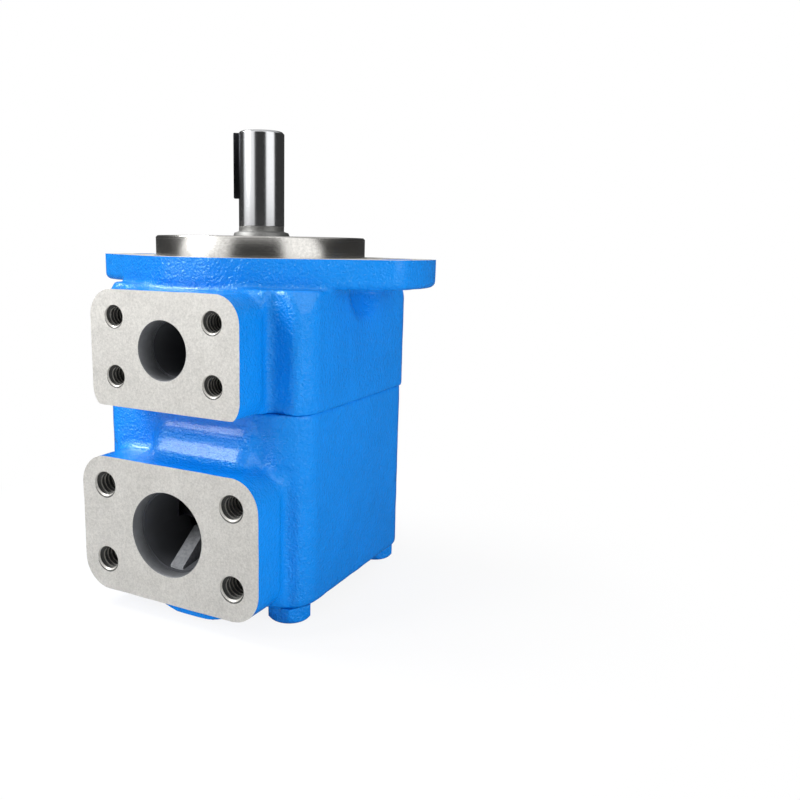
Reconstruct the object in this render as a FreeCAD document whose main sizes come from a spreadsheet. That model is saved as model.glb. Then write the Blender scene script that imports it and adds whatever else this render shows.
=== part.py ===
import FreeCAD, Part
import math
import os

import Sketcher

# Single vane pump with a two-bolt flange, built as it comes apart on a bench.
# Frame: origin on the shaft axis in the mounting face, +Z out along the shaft,
# the two ports face -Y and the flange ears point along +X and -X. Millimetres.

VANE_COUNT = 12
BALL_COUNT = 9
SPLINE_TEETH = 10

SIZES = [
    # flange and pilot
    ("pilot_dia", 101.6, "spigot that centres the pump"),
    ("pilot_height", 9.4, "spigot height above the mounting face"),
    ("pilot_edge", 0.8, "bevel on the spigot's outer edge"),
    ("relief_width", 1.2, "ring groove in the mounting face, round the spigot's foot"),
    ("relief_depth", 0.5, "depth of that groove"),
    ("flange_thick", 12.9, "flange thickness"),
    ("flange_edge", 3.0, "cast round on the back of the flange"),
    ("flange_round_dia", 120.0, "round part of the flange outline"),
    ("ear_slope", 30.0, "slope of the flange's straight sides, degrees"),
    ("ear_tip_dia", 174.0, "circle on which the ear tips lie"),
    ("ear_corner", 12.0, "round where an ear's side meets its tip"),
    ("bolt_span", 146.0, "distance between the two mounting bolts"),
    ("bolt_hole_dia", 14.3, "mounting bolt hole"),
    ("wrench_room_dia", 43.0, "ball-shaped recess that clears the bolt head"),
    ("column_slope_width", 3.9, "sloped top of the bolt columns, from its edge to their corners"),
    ("column_slope_drop", 7.0, "drop of that slope at the columns' corners"),
    # front body
    ("body_width", 115.0, "body across X"),
    ("body_depth", 113.0, "body across Y"),
    ("body_corner", 15.0, "round of the bolt columns"),
    ("body_edge", 1.0, "cast round on the body's rear edge"),
    ("split_depth", 65.5, "mounting face to the joint with the cover"),
    ("valley_dia", 7.6, "groove between a port boss and its bolt column"),
    ("valley_offset", 2.66, "side of the boss to the groove's axis"),
    ("valley_inset", 0.23, "front wall to the groove's axis"),
    # ports
    ("port_reach", 76.2, "shaft axis to the port faces"),
    ("boss_depth", 27.0, "depth of the port bosses"),
    ("outlet_level", 39.0, "mounting face to the outlet axis"),
    ("outlet_bore_dia", 25.4, "outlet bore"),
    ("outlet_bore_depth", 24.0, "bored part of the outlet"),
    ("outlet_way_dia", 23.0, "cast way behind the outlet bore"),
    ("outlet_pad_width", 79.6, "outlet pad across X"),
    ("outlet_pad_top", 14.0, "mounting face to the outlet pad"),
    ("outlet_pad_spare", 3.5, "how far the uncut outlet pad reaches past the joint"),
    ("outlet_pad_corner", 12.0, "corner round of the outlet pad"),
    ("outlet_holes_across", 52.4, "outlet flange holes, along X"),
    ("outlet_holes_along", 26.2, "outlet flange holes, along Z"),
    ("outlet_hole_dia", 10.0, "outlet flange threads, major diameter"),
    ("outlet_hole_depth", 24.0, "outlet flange hole depth"),
    ("inlet_level", 120.65, "mounting face to the inlet axis"),
    ("inlet_bore_dia", 38.1, "inlet bore"),
    ("inlet_bore_depth", 10.0, "bored part of the inlet"),
    ("inlet_way_dia", 36.0, "cast way behind the inlet bore"),
    ("inlet_pad_width", 97.0, "inlet pad across X"),
    ("inlet_pad_top", 89.3, "mounting face to the inlet pad"),
    ("inlet_pad_end", 153.0, "mounting face to the far edge of the inlet pad"),
    ("inlet_pad_corner", 14.0, "corner round of the inlet pad"),
    ("inlet_holes_across", 69.9, "inlet flange holes, along X"),
    ("inlet_holes_along", 35.7, "inlet flange holes, along Z"),
    ("inlet_hole_dia", 12.0, "inlet flange threads, major diameter"),
    ("inlet_hole_depth", 27.0, "inlet flange hole depth"),
    ("thread_mouth", 0.6, "bevel at the mouth of a threaded hole"),
    # rear cover
    ("cover_width", 113.0, "cover across X"),
    ("cover_depth", 112.0, "cover across Y"),
    ("cover_corner", 15.0, "round of the cover's bolt columns"),
    ("cover_length", 88.0, "joint to the cover's rear face"),
    ("cover_edge", 3.0, "cast round on the rear edge"),
    ("cover_rim", 0.8, "cast round on the joint edge"),
    ("neck_width", 72.0, "rib that carries the inlet boss, across X"),
    ("neck_round", 17.5, "hollow curve from the front wall to the inlet boss"),
    ("neck_overlap", 3.0, "how far the rib's outline is drawn into wall and boss"),
    ("rear_room", 19.0, "inlet room behind the cartridge"),
    ("rear_room_dia", 84.0, "width of that room"),
    ("web_thick", 7.0, "web that backs the cartridge"),
    ("web_reach", 66.0, "shaft axis to the web's toe in the inlet bore"),
    ("web_toe", 1.5, "height of that toe above the bore wall"),
    # cover screws and joint seal
    ("screw_spacing", 88.0, "square pattern of the cover screws"),
    ("screw_dia", 12.0, "cover screw"),
    ("screw_hole_dia", 13.5, "clearance hole in the cover"),
    ("screw_head_flats", 19.0, "screw head across flats"),
    ("screw_head_height", 7.5, "screw head height"),
    ("screw_head_bevel", 3.0, "height of the bevel that takes off the head's corners"),
    ("screw_grip", 20.0, "screw length in the body"),
    ("screw_end_room", 2.0, "room past the end of a screw"),
    ("thread_gap", 0.1, "screw to hole, at the thread's outer diameter"),
    ("joint_seal_dia", 106.4, "mean diameter of the joint seal"),
    ("joint_seal_width", 2.6, "joint seal section"),
    # bores of the front body
    ("seal_bore_depth", 11.4, "shaft seal bore, from the spigot's face"),
    ("seal_web_bore_dia", 31.0, "bore through the web behind the shaft seal"),
    ("bearing_front", 7.0, "mounting face to the bearing's front face"),
    ("bearing_land", 3.5, "bore length behind the bearing"),
    ("seat_gap", 0.02, "clearance of a piece seated in its bore"),
    ("run_gap", 0.05, "clearance of a piece that runs in its bore"),
    # shaft
    ("shaft_dia", 22.22, "drive end"),
    ("shaft_reach", 58.7, "mounting face to the shaft end"),
    ("shaft_bevel", 1.0, "bevel on the shaft end"),
    ("centre_hole_dia", 4.0, "centre hole"),
    ("centre_hole_depth", 7.0, "centre hole depth"),
    ("centre_mouth_dia", 7.0, "countersink of the centre hole"),
    ("collar_dia", 27.8, "collar under the shaft seal"),
    ("collar_reach", 9.4, "mounting face to the collar's end"),
    ("collar_bevel", 2.2, "length of the collar's bevel"),
    ("collar_tip_dia", 24.0, "small end of that bevel"),
    ("neck_dia", 22.0, "shaft between bearing and spline"),
    ("journal_dia", 19.0, "rear journal"),
    ("journal_length", 13.0, "rear journal length"),
    ("spline_root_dia", 20.0, "spline root"),
    ("spline_tip_dia", 23.0, "spline tip"),
    ("spline_tooth", 3.2, "spline tooth width"),
    ("spline_overlap", 2.0, "how deep a tooth's outline is drawn into the core"),
    ("spline_tip_gap", 0.1, "tooth tip to the rotor"),
    ("key_width", 4.76, "square key"),
    ("key_length", 30.4, "key length"),
    ("key_setback", 0.8, "shaft end to the key"),
    ("key_sink", 2.56, "keyway depth"),
    ("key_angle", 212.0, "direction of the key about the shaft, degrees from +X"),
    ("keyway_end", 20.5, "mounting face to the end of the keyway's full depth"),
    ("cutter_dia", 20.0, "cutter whose run-out ends the keyway"),
    # ball bearing
    ("bearing_bore_dia", 25.0, "bearing bore"),
    ("bearing_outer_dia", 52.0, "bearing outside"),
    ("bearing_width", 15.0, "bearing width"),
    ("ball_dia", 7.94, "ball"),
    ("ball_circle_dia", 38.5, "pitch circle of the balls"),
    ("race_gap", 0.06, "ball to raceway or pocket"),
    ("inner_land_dia", 33.0, "outside of the inner ring"),
    ("outer_land_dia", 44.0, "inside of the outer ring"),
    ("cage_thick", 2.4, "cage, across"),
    ("cage_width", 10.4, "cage, along the shaft"),
    ("ring_thick", 1.5, "retaining rings"),
    ("ring_rise", 2.0, "how far a retaining ring covers the bearing"),
    ("ring_gap_angle", 30.0, "gap of a retaining ring, degrees"),
    ("ring_gap_place", 90.0, "direction of that gap, degrees from +X"),
    ("groove_depth", 1.0, "retaining ring grooves"),
    # shaft seal
    ("seal_dia", 38.0, "shaft seal outside"),
    ("seal_setback", 3.2, "spigot face to the seal"),
    ("seal_width", 7.0, "shaft seal width"),
    ("case_wall", 1.0, "sheet of the seal case"),
    ("case_bore_dia", 32.0, "opening of the seal case"),
    ("lip_wall", 1.2, "rubber lip"),
    ("lip_hollow", 0.9, "depth of the hollow between the lip's two edges"),
    ("lip_flat", 0.5, "height of the lip's dust edge"),
    ("lip_point", 0.8, "end of the lip to its sealing edge"),
    ("lip_taper", 0.4, "lean of the lip's back"),
    ("lip_end_room", 1.0, "end of the lip to the seal's rear face"),
    ("spring_gap", 0.2, "coil spring to the lip"),
    ("spring_wire_dia", 1.2, "coil spring round the lip, outside of its coil"),
    # cartridge
    ("cavity_dia", 98.0, "room round the cartridge"),
    ("cavity_start", 58.0, "mounting face to the shoulder that stops the cartridge"),
    ("cartridge_dia", 89.0, "outside of the cartridge"),
    ("hub_dia", 63.0, "hub of the outlet plate"),
    ("hub_length", 16.0, "hub length"),
    ("plate_bore_dia", 25.0, "shaft clearance in the plates"),
    ("outlet_plate_thick", 10.0, "outlet support plate"),
    ("side_plate_thick", 4.0, "side plates"),
    ("cam_width", 32.0, "cam ring, along the shaft"),
    ("inlet_plate_thick", 16.0, "inlet support plate"),
    ("hub_seal_width", 3.2, "seal in the hub's groove"),
    ("backup_thick", 1.4, "back-up ring beside it"),
    ("hub_groove_depth", 2.6, "depth of the hub's groove"),
    ("cam_minor_dia", 62.0, "cam bore at the small dwells"),
    ("cam_major_dia", 69.0, "cam bore at the large dwells"),
    ("dwell_angle", 34.0, "length of each dwell, degrees"),
    ("rotor_gap", 0.4, "rotor to the small dwells"),
    ("end_gap", 0.03, "rotor and vanes to each side plate"),
    ("bushing_wall", 2.5, "bushing round the rear journal"),
    ("tie_circle_dia", 79.4, "circle of the pins and cartridge screws"),
    ("pin_dia", 5.0, "locating pins"),
    ("tie_screw_dia", 5.0, "cartridge screws"),
    ("tie_head_dia", 8.6, "cartridge screw head"),
    ("tie_head_height", 3.0, "cartridge screw head height"),
    ("tie_head_gap", 0.2, "cartridge screw head to its counterbore"),
    ("tie_slot", 1.2, "width and depth of the screwdriver slot"),
    ("tie_grip", 7.0, "depth of the pin and screw holes in the outlet plate"),
    ("tie_end_gap", 0.5, "end of a pin or screw to the bottom of its hole"),
    ("pressure_inner_dia", 46.0, "pressure ports, inside"),
    ("pressure_outer_dia", 55.0, "pressure ports through the outlet hub, outside"),
    ("suction_inner_dia", 58.0, "suction ports, inside"),
    ("suction_outer_dia", 75.0, "suction ports, outside"),
    ("kidney_angle", 44.0, "length of each port in the plates, degrees"),
    ("intake_width", 22.0, "intake cuts in the inlet plate and cam ring"),
    ("intake_depth", 6.0, "depth of the intake cuts"),
    # vanes and inserts
    ("vane_thick", 2.0, "vane"),
    ("vane_height", 11.0, "vane, from tip to foot"),
    ("tip_gap", 0.1, "tip of a retracted vane to the small dwells"),
    ("slot_gap", 0.03, "vane to the side of its slot"),
    ("slot_room", 1.4, "foot of a retracted vane to the slot's bottom"),
    ("slot_foot_dia", 3.2, "round bottom of a vane slot"),
    ("insert_length", 20.0, "insert, along the shaft"),
    ("insert_height", 5.4, "insert, along the slot"),
    ("insert_play", 1.2, "insert to the roof of the vane's notch, vane retracted"),
    ("notch_gap", 0.15, "insert to each end of that notch"),
]

doc = FreeCAD.newDocument("vane_pump")
sheet = doc.addObject("Spreadsheet::Sheet", "Sizes")
for row, (alias, number, note) in enumerate(SIZES, start=1):
    sheet.set(f"A{row}", alias)
    sheet.set(f"B{row}", str(number))
    sheet.setAlias(f"B{row}", alias)
    sheet.set(f"C{row}", note)
doc.recompute()

PARTS = []


def full(expression):
    """An expression in aliases, written out as the document understands it."""
    words = []
    word = ""
    aliases = {alias for alias, number, note in SIZES}
    for letter in expression + " ":
        if letter.isalpha() or letter == "_":
            word += letter
            continue
        words.append(f"Sizes.{word}" if word in aliases else word)
        words.append(letter)
        word = ""
    return "".join(words).strip()


def value(expression):
    """The number that an expression has now."""
    result = sheet.evalExpression(full(expression))
    return float(getattr(result, "Value", result))


def bind(thing, **properties):
    """Binds properties to the sheet; Base_z stands for Placement.Base.z."""
    for name, expression in properties.items():
        path = f"Placement.Base.{name[-1]}" if name.startswith("Base_") else name
        thing.setExpression(path, full(expression))


def vector(x=0.0, y=0.0, z=0.0):
    return FreeCAD.Vector(x, y, z)


AXIS_Z = vector(z=1)
TURN_TO = {
    "z": FreeCAD.Rotation(),
    "y": FreeCAD.Rotation(vector(x=1), -90),
}


# Helpers for pieces made from sketches

def new_body(label):
    body = doc.addObject("PartDesign::Body", label)
    body.Label = label
    return body


def sketch_on(body, role, name, offset="0"):
    """A sketch on one of its body's own planes, moved along the plane's normal."""
    sketch = body.newObject("Sketcher::SketchObject", name)
    plane = next(f for f in body.Origin.OriginFeatures if f.Role == role)
    sketch.AttachmentSupport = [(plane, "")]
    sketch.MapMode = "FlatFace"
    sketch.setExpression("AttachmentOffset.Base.z", full(offset))
    return sketch


def hold(sketch, constraints):
    """Adds constraints and binds those that come with an expression."""
    first = sketch.ConstraintCount
    sketch.addConstraint([c for c, expression in constraints])
    for index, (c, expression) in enumerate(constraints, start=first):
        if expression:
            sketch.setExpression(f"Constraints[{index}]", full(expression))


def held_point(geometry, point, x, y):
    """Constraints that hold a point of a sketch at two expressions."""
    found = []
    for kind, axis, expression in (("DistanceX", -2, x), ("DistanceY", -1, y)):
        number = value(expression)
        if abs(number) < 1e-9:
            found.append((Sketcher.Constraint("PointOnObject", geometry, point, axis), None))
        else:
            made = Sketcher.Constraint(kind, -1, 1, geometry, point, number)
            found.append((made, expression))
    return found


def draw_outline(sketch, corners):
    """A closed outline of straight lines, each corner held by two expressions."""
    first = sketch.GeometryCount
    spots = [vector(value(x), value(y)) for x, y in corners]
    count = len(spots)
    lines = [Part.LineSegment(spots[i], spots[(i + 1) % count]) for i in range(count)]
    sketch.addGeometry(lines, False)
    rules = []
    for i in range(count):
        joined = Sketcher.Constraint("Coincident", first + i, 2, first + (i + 1) % count, 1)
        rules.append((joined, None))
    for i, (x, y) in enumerate(corners):
        rules += held_point(first + i, 1, x, y)
    hold(sketch, rules)


def draw_circles(sketch, circles):
    """Circles given as centre x, centre y and diameter."""
    for x, y, diameter in circles:
        number = sketch.GeometryCount
        circle = Part.Circle(vector(value(x), value(y)), AXIS_Z, value(diameter) / 2)
        sketch.addGeometry(circle, False)
        rules = held_point(number, 3, x, y)
        rules.append((Sketcher.Constraint("Diameter", number, value(diameter)), diameter))
        hold(sketch, rules)


def rectangle(width, low, high):
    """Corners of a rectangle centred on the sketch's vertical axis."""
    return [
        (f"-({width}) / 2", low),
        (f"({width}) / 2", low),
        (f"({width}) / 2", high),
        (f"-({width}) / 2", high),
    ]


def draw_rounded_rectangle(sketch, width, low, high, corner):
    """A rectangle centred on the vertical axis, its corners tangent arcs."""
    half, bottom, top, radius = value(f"({width}) / 2"), value(low), value(high), value(corner)
    inner = half - radius
    low_bend, high_bend = bottom + radius, top - radius
    centres = [(inner, low_bend), (inner, high_bend), (-inner, high_bend), (-inner, low_bend)]
    ends = [(-inner, bottom), (half, low_bend), (inner, top), (-half, high_bend)]
    starts = [(inner, bottom), (half, high_bend), (-inner, top), (-half, low_bend)]
    items = []
    for side in range(4):
        items.append(Part.LineSegment(vector(*ends[side]), vector(*starts[side])))
        circle = Part.Circle(vector(*centres[side]), AXIS_Z, radius)
        items.append(Part.ArcOfCircle(circle, math.pi * (side - 1) / 2, math.pi * side / 2))
    sketch.addGeometry(items, False)
    rules = []
    for side in range(4):
        line, bend, following = 2 * side, 2 * side + 1, (2 * side + 2) % 8
        rules.append((Sketcher.Constraint("Tangent", line, 2, bend, 1), None))
        rules.append((Sketcher.Constraint("Tangent", bend, 2, following, 1), None))
        rules.append((Sketcher.Constraint("Vertical" if side % 2 else "Horizontal", line), None))
        if side:
            rules.append((Sketcher.Constraint("Equal", 1, bend), None))
    rules.append((Sketcher.Constraint("Radius", 1, radius), corner))
    rules.append((Sketcher.Constraint("DistanceX", -1, 1, 2, 1, half), f"({width}) / 2"))
    rules.append((Sketcher.Constraint("DistanceX", -1, 1, 6, 1, -half), f"-({width}) / 2"))
    rules.append((Sketcher.Constraint("DistanceY", -1, 1, 0, 1, bottom), low))
    rules.append((Sketcher.Constraint("DistanceY", -1, 1, 4, 1, top), high))
    hold(sketch, rules)


def pad(body, sketch, length, name, backwards=False, middle=False):
    feature = body.newObject("PartDesign::Pad", name)
    feature.Profile = sketch
    feature.setExpression("Length", full(length))
    feature.Reversed = backwards
    feature.Midplane = middle
    doc.recompute()
    return feature


def pocket(body, sketch, length, name, backwards=False):
    """Cuts a sketch into its body, and makes sure that it took material away."""
    before = body.Shape.Volume
    feature = body.newObject("PartDesign::Pocket", name)
    feature.Profile = sketch
    feature.setExpression("Length", full(length))
    feature.Reversed = backwards
    doc.recompute()
    if not body.Shape.Volume < before - 1e-3:
        raise ValueError(f"{name} cuts nothing")
    return feature


def turn(body, corners, name, cut=False):
    """Turns an outline of radius and height about the shaft axis."""
    before = body.Shape.Volume if cut else 0.0
    sketch = sketch_on(body, "XZ_Plane", f"{name}_profile")
    draw_outline(sketch, corners)
    kind = "PartDesign::Groove" if cut else "PartDesign::Revolution"
    feature = body.newObject(kind, name)
    feature.Profile = sketch
    feature.ReferenceAxis = (sketch, ["V_Axis"])
    feature.Angle = 360
    doc.recompute()
    if cut and not body.Shape.Volume < before - 1e-3:
        raise ValueError(f"{name} cuts nothing")
    return feature


def repeat_round(body, features, count, name):
    """Repeats features about the shaft axis."""
    feature = body.newObject("PartDesign::PolarPattern", name)
    feature.Originals = features
    feature.Axis = (next(f for f in body.Origin.OriginFeatures if f.Role == "Z_Axis"), [""])
    feature.Angle = 360
    feature.Occurrences = count
    body.Tip = feature
    doc.recompute()
    return feature


def edges_at(shape, test):
    """Names of the edges whose middle and direction pass a test."""
    names = []
    for number, edge in enumerate(shape.Edges, start=1):
        first, last = edge.ParameterRange
        middle = edge.valueAt((first + last) / 2)
        along = edge.tangentAt((first + last) / 2)
        if test(middle, along, edge):
            names.append(f"Edge{number}")
    return names


def round_edges(body, test, radius, name, kind="PartDesign::Fillet"):
    names = edges_at(body.Shape, test)
    if not names:
        raise ValueError(f"{name} finds no edge")
    base = body.Tip
    feature = body.newObject(kind, name)
    feature.Base = (base, names)
    feature.setExpression("Size" if "Chamfer" in kind else "Radius", full(radius))
    doc.recompute()
    return feature


def turned_piece(label, corners):
    body = new_body(label)
    turn(body, corners, f"{label}_turn")
    PARTS.append(body)
    return body


# Helpers for pieces made from solids

def cylinder(name, diameter, height, x="0", y="0", z="0", axis="z", span=None, start=0.0):
    made = doc.addObject("Part::Cylinder", name)
    turning = FreeCAD.Rotation(AXIS_Z, start)
    made.Placement = FreeCAD.Placement(vector(), TURN_TO[axis].multiply(turning))
    bind(made, Radius=f"({diameter}) / 2", Height=height, Base_x=x, Base_y=y, Base_z=z)
    if span:
        bind(made, Angle=span)
    return made


def fused(name, pieces):
    made = doc.addObject("Part::MultiFuse", name)
    made.Shapes = pieces
    return made


def cut(name, base, tool):
    made = doc.addObject("Part::Cut", name)
    made.Base = base
    made.Tool = tool
    return made


def ring(name, outer, inner, height, z, span=None, start=0.0):
    """A ring, or with a span the part of a ring that starts at an angle."""
    outside = cylinder(f"{name}_outside", outer, height, z=z, span=span, start=start)
    inside = cylinder(f"{name}_inside", inner, f"{height} + 2", z=f"{z} - 1", start=0.0)
    return cut(name, outside, inside)


def keep(made, label):
    """Gives a finished piece its name and puts it among the exported parts."""
    made.Label = label
    PARTS.append(made)
    return made


def fixed_shape(label, shape):
    made = doc.addObject("Part::Feature", label)
    made.Shape = shape
    return keep(made, label)


def four_corners(half_x, half_y):
    return [(x, y) for x in (-half_x, half_x) for y in (-half_y, half_y)]


# Levels that several pieces share, as expressions
RACE_MIDDLE = "-(bearing_front + bearing_width / 2)"
BEARING_BACK = "-(bearing_front + bearing_width)"
CHAMBER_START = "-(bearing_front + bearing_width + ring_thick + bearing_land)"
STACK_FRONT = "-cavity_start"
OUTLET_SIDE = f"({STACK_FRONT} - outlet_plate_thick)"
CAM_FRONT = f"({OUTLET_SIDE} - side_plate_thick)"
CAM_BACK = f"({CAM_FRONT} - cam_width)"
INLET_SIDE = f"({CAM_BACK} - side_plate_thick)"
STACK_BACK = f"({INLET_SIDE} - inlet_plate_thick)"
REAR_FACE = "-(split_depth + cover_length)"
SEAL_FRONT = "(pilot_height - seal_setback)"
SEAL_BACK = f"({SEAL_FRONT} - seal_width)"
BALL_GROOVE_DIA = "(ball_dia + 2 * race_gap)"
ROTOR_DIA = "(cam_minor_dia - 2 * rotor_gap)"
VANE_TIP = "(cam_minor_dia / 2 - tip_gap)"
VANE_FOOT = f"({VANE_TIP} - vane_height)"
SLOT_BOTTOM = f"({VANE_FOOT} - slot_room)"
COLUMN_X = "(body_width / 2 - body_corner)"
COLUMN_Y = "(body_depth / 2 - body_corner)"
COLUMN_REACH = f"(sqrt({COLUMN_X} ^ 2 + {COLUMN_Y} ^ 2) + body_corner)"
OUTLET_PAD_END = "(split_depth + outlet_pad_spare)"
SPLINE_CORE = "(spline_root_dia / 2 - spline_overlap)"


def parallel_to(direction):
    return lambda along: abs(abs(along.dot(direction)) - 1) < 1e-6


def port_boss(body, name, width, top, end, corner):
    """The boss of a port, whose end is the machined pad."""
    outline = sketch_on(body, "XZ_Plane", f"{name}_pad_outline", "port_reach")
    draw_rounded_rectangle(outline, width, f"-{end}", f"-{top}", corner)
    pad(body, outline, "boss_depth", f"{name}_boss", backwards=True)


def port_ways(body, name, level, room):
    """The bore of a port, and the narrower cast way that leads on to a round room.

    The way is a cylinder across the shaft, and ends where its side lines meet the room's wall.
    """
    way_depth = f"port_reach - sqrt({room} ^ 2 - {name}_way_dia ^ 2) / 2"
    for word, depth in (("way", way_depth), ("bore", f"{name}_bore_depth")):
        circle = sketch_on(body, "XZ_Plane", f"{name}_{word}_circle", "port_reach")
        draw_circles(circle, [("0", f"-{level}", f"{name}_{word}_dia")])
        pocket(body, circle, depth, f"{name}_{word}")


def port_holes(body, name, level):
    """The four threaded holes of a port, each with a bevelled mouth."""
    across, along = f"{name}_holes_across", f"{name}_holes_along"
    hole, depth = f"{name}_hole_dia", f"{name}_hole_depth"
    threads = sketch_on(body, "XZ_Plane", f"{name}_thread_circles", "port_reach")
    centres = [(f"{i} * {across} / 2", f"-{level} + {j} * {along} / 2")
               for i in (-1, 1) for j in (-1, 1)]
    draw_circles(threads, [(x, y, hole) for x, y in centres])
    pocket(body, threads, depth, f"{name}_threads")
    mouth = value(hole) / 2
    face = -value("port_reach")

    def at_mouth(middle, direction, edge):
        round_edge = isinstance(edge.Curve, Part.Circle)
        return round_edge and abs(middle.y - face) < 1e-3 and abs(edge.Curve.Radius - mouth) < 1e-3

    round_edges(body, at_mouth, "thread_mouth", f"{name}_mouths", "PartDesign::Chamfer")


def cast_block(body, name, width, depth, low, height, corner):
    """The square block of a casting, with rounded bolt columns at its corners."""
    outline = sketch_on(body, "XY_Plane", f"{name}_outline", low)
    draw_rounded_rectangle(outline, width, f"-{depth} / 2", f"{depth} / 2", corner)
    pad(body, outline, height, f"{name}_block")


def round_rim(body, level, radius, name):
    """Rounds the whole outline of a block at one level."""
    height = value(level)

    def on_level(middle, along, edge):
        return abs(middle.z - height) < 1e-3 and abs(along.z) < 1e-6

    round_edges(body, on_level, radius, name)


def valley(body, name, pad_width, depth, low, height):
    """The grooves beside a port boss, where it meets the bolt columns."""
    circles = sketch_on(body, "XY_Plane", f"{name}_valley_circles", low)
    side = f"({pad_width} / 2 + valley_offset)"
    front = f"-({depth} / 2 - valley_inset)"
    draw_circles(circles, [(f"{i} * {side}", front, "valley_dia") for i in (-1, 1)])
    pocket(body, circles, height, f"{name}_valleys", backwards=True)


def flange_outline(sketch):
    """Round middle, two ears with straight tangent sides, tips on a circle."""
    middle_r = value("flange_round_dia") / 2
    tip_r = value("ear_tip_dia") / 2
    slope = math.radians(value("ear_slope"))
    tangent = math.pi / 2 - slope
    tip = tangent - math.acos(middle_r / tip_r)

    def at(radius, angle):
        return vector(radius * math.cos(angle), radius * math.sin(angle))

    def arc(radius, start, end):
        return Part.ArcOfCircle(Part.Circle(vector(), AXIS_Z, radius), start, end)

    turn_half = math.pi
    sketch.addGeometry([
        arc(tip_r, -tip, tip),
        Part.LineSegment(at(tip_r, tip), at(middle_r, tangent)),
        arc(middle_r, tangent, turn_half - tangent),
        Part.LineSegment(at(middle_r, turn_half - tangent), at(tip_r, turn_half - tip)),
        arc(tip_r, turn_half - tip, turn_half + tip),
        Part.LineSegment(at(tip_r, turn_half + tip), at(middle_r, turn_half + tangent)),
        arc(middle_r, turn_half + tangent, 2 * turn_half - tangent),
        Part.LineSegment(at(middle_r, -tangent), at(tip_r, -tip)),
    ], False)
    rules = [(Sketcher.Constraint("Coincident", a, 3, -1, 1), None) for a in (0, 2, 4, 6)]
    joins = ("Coincident", "Tangent", "Tangent", "Coincident")
    for number in range(8):
        kind = joins[number % 4]
        rules.append((Sketcher.Constraint(kind, number, 2, (number + 1) % 8, 1), None))
    for number, alias in enumerate(("ear_tip_dia", "flange_round_dia") * 2):
        rules.append((Sketcher.Constraint("Radius", 2 * number, value(alias) / 2), f"{alias} / 2"))
    slopes = ("180 - ear_slope", "ear_slope - 180", "-ear_slope", "ear_slope")
    for number, degrees in enumerate(slopes):
        angle = math.radians(value(degrees))
        rules.append((Sketcher.Constraint("Angle", 2 * number + 1, angle), degrees))
    hold(sketch, rules)


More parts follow.
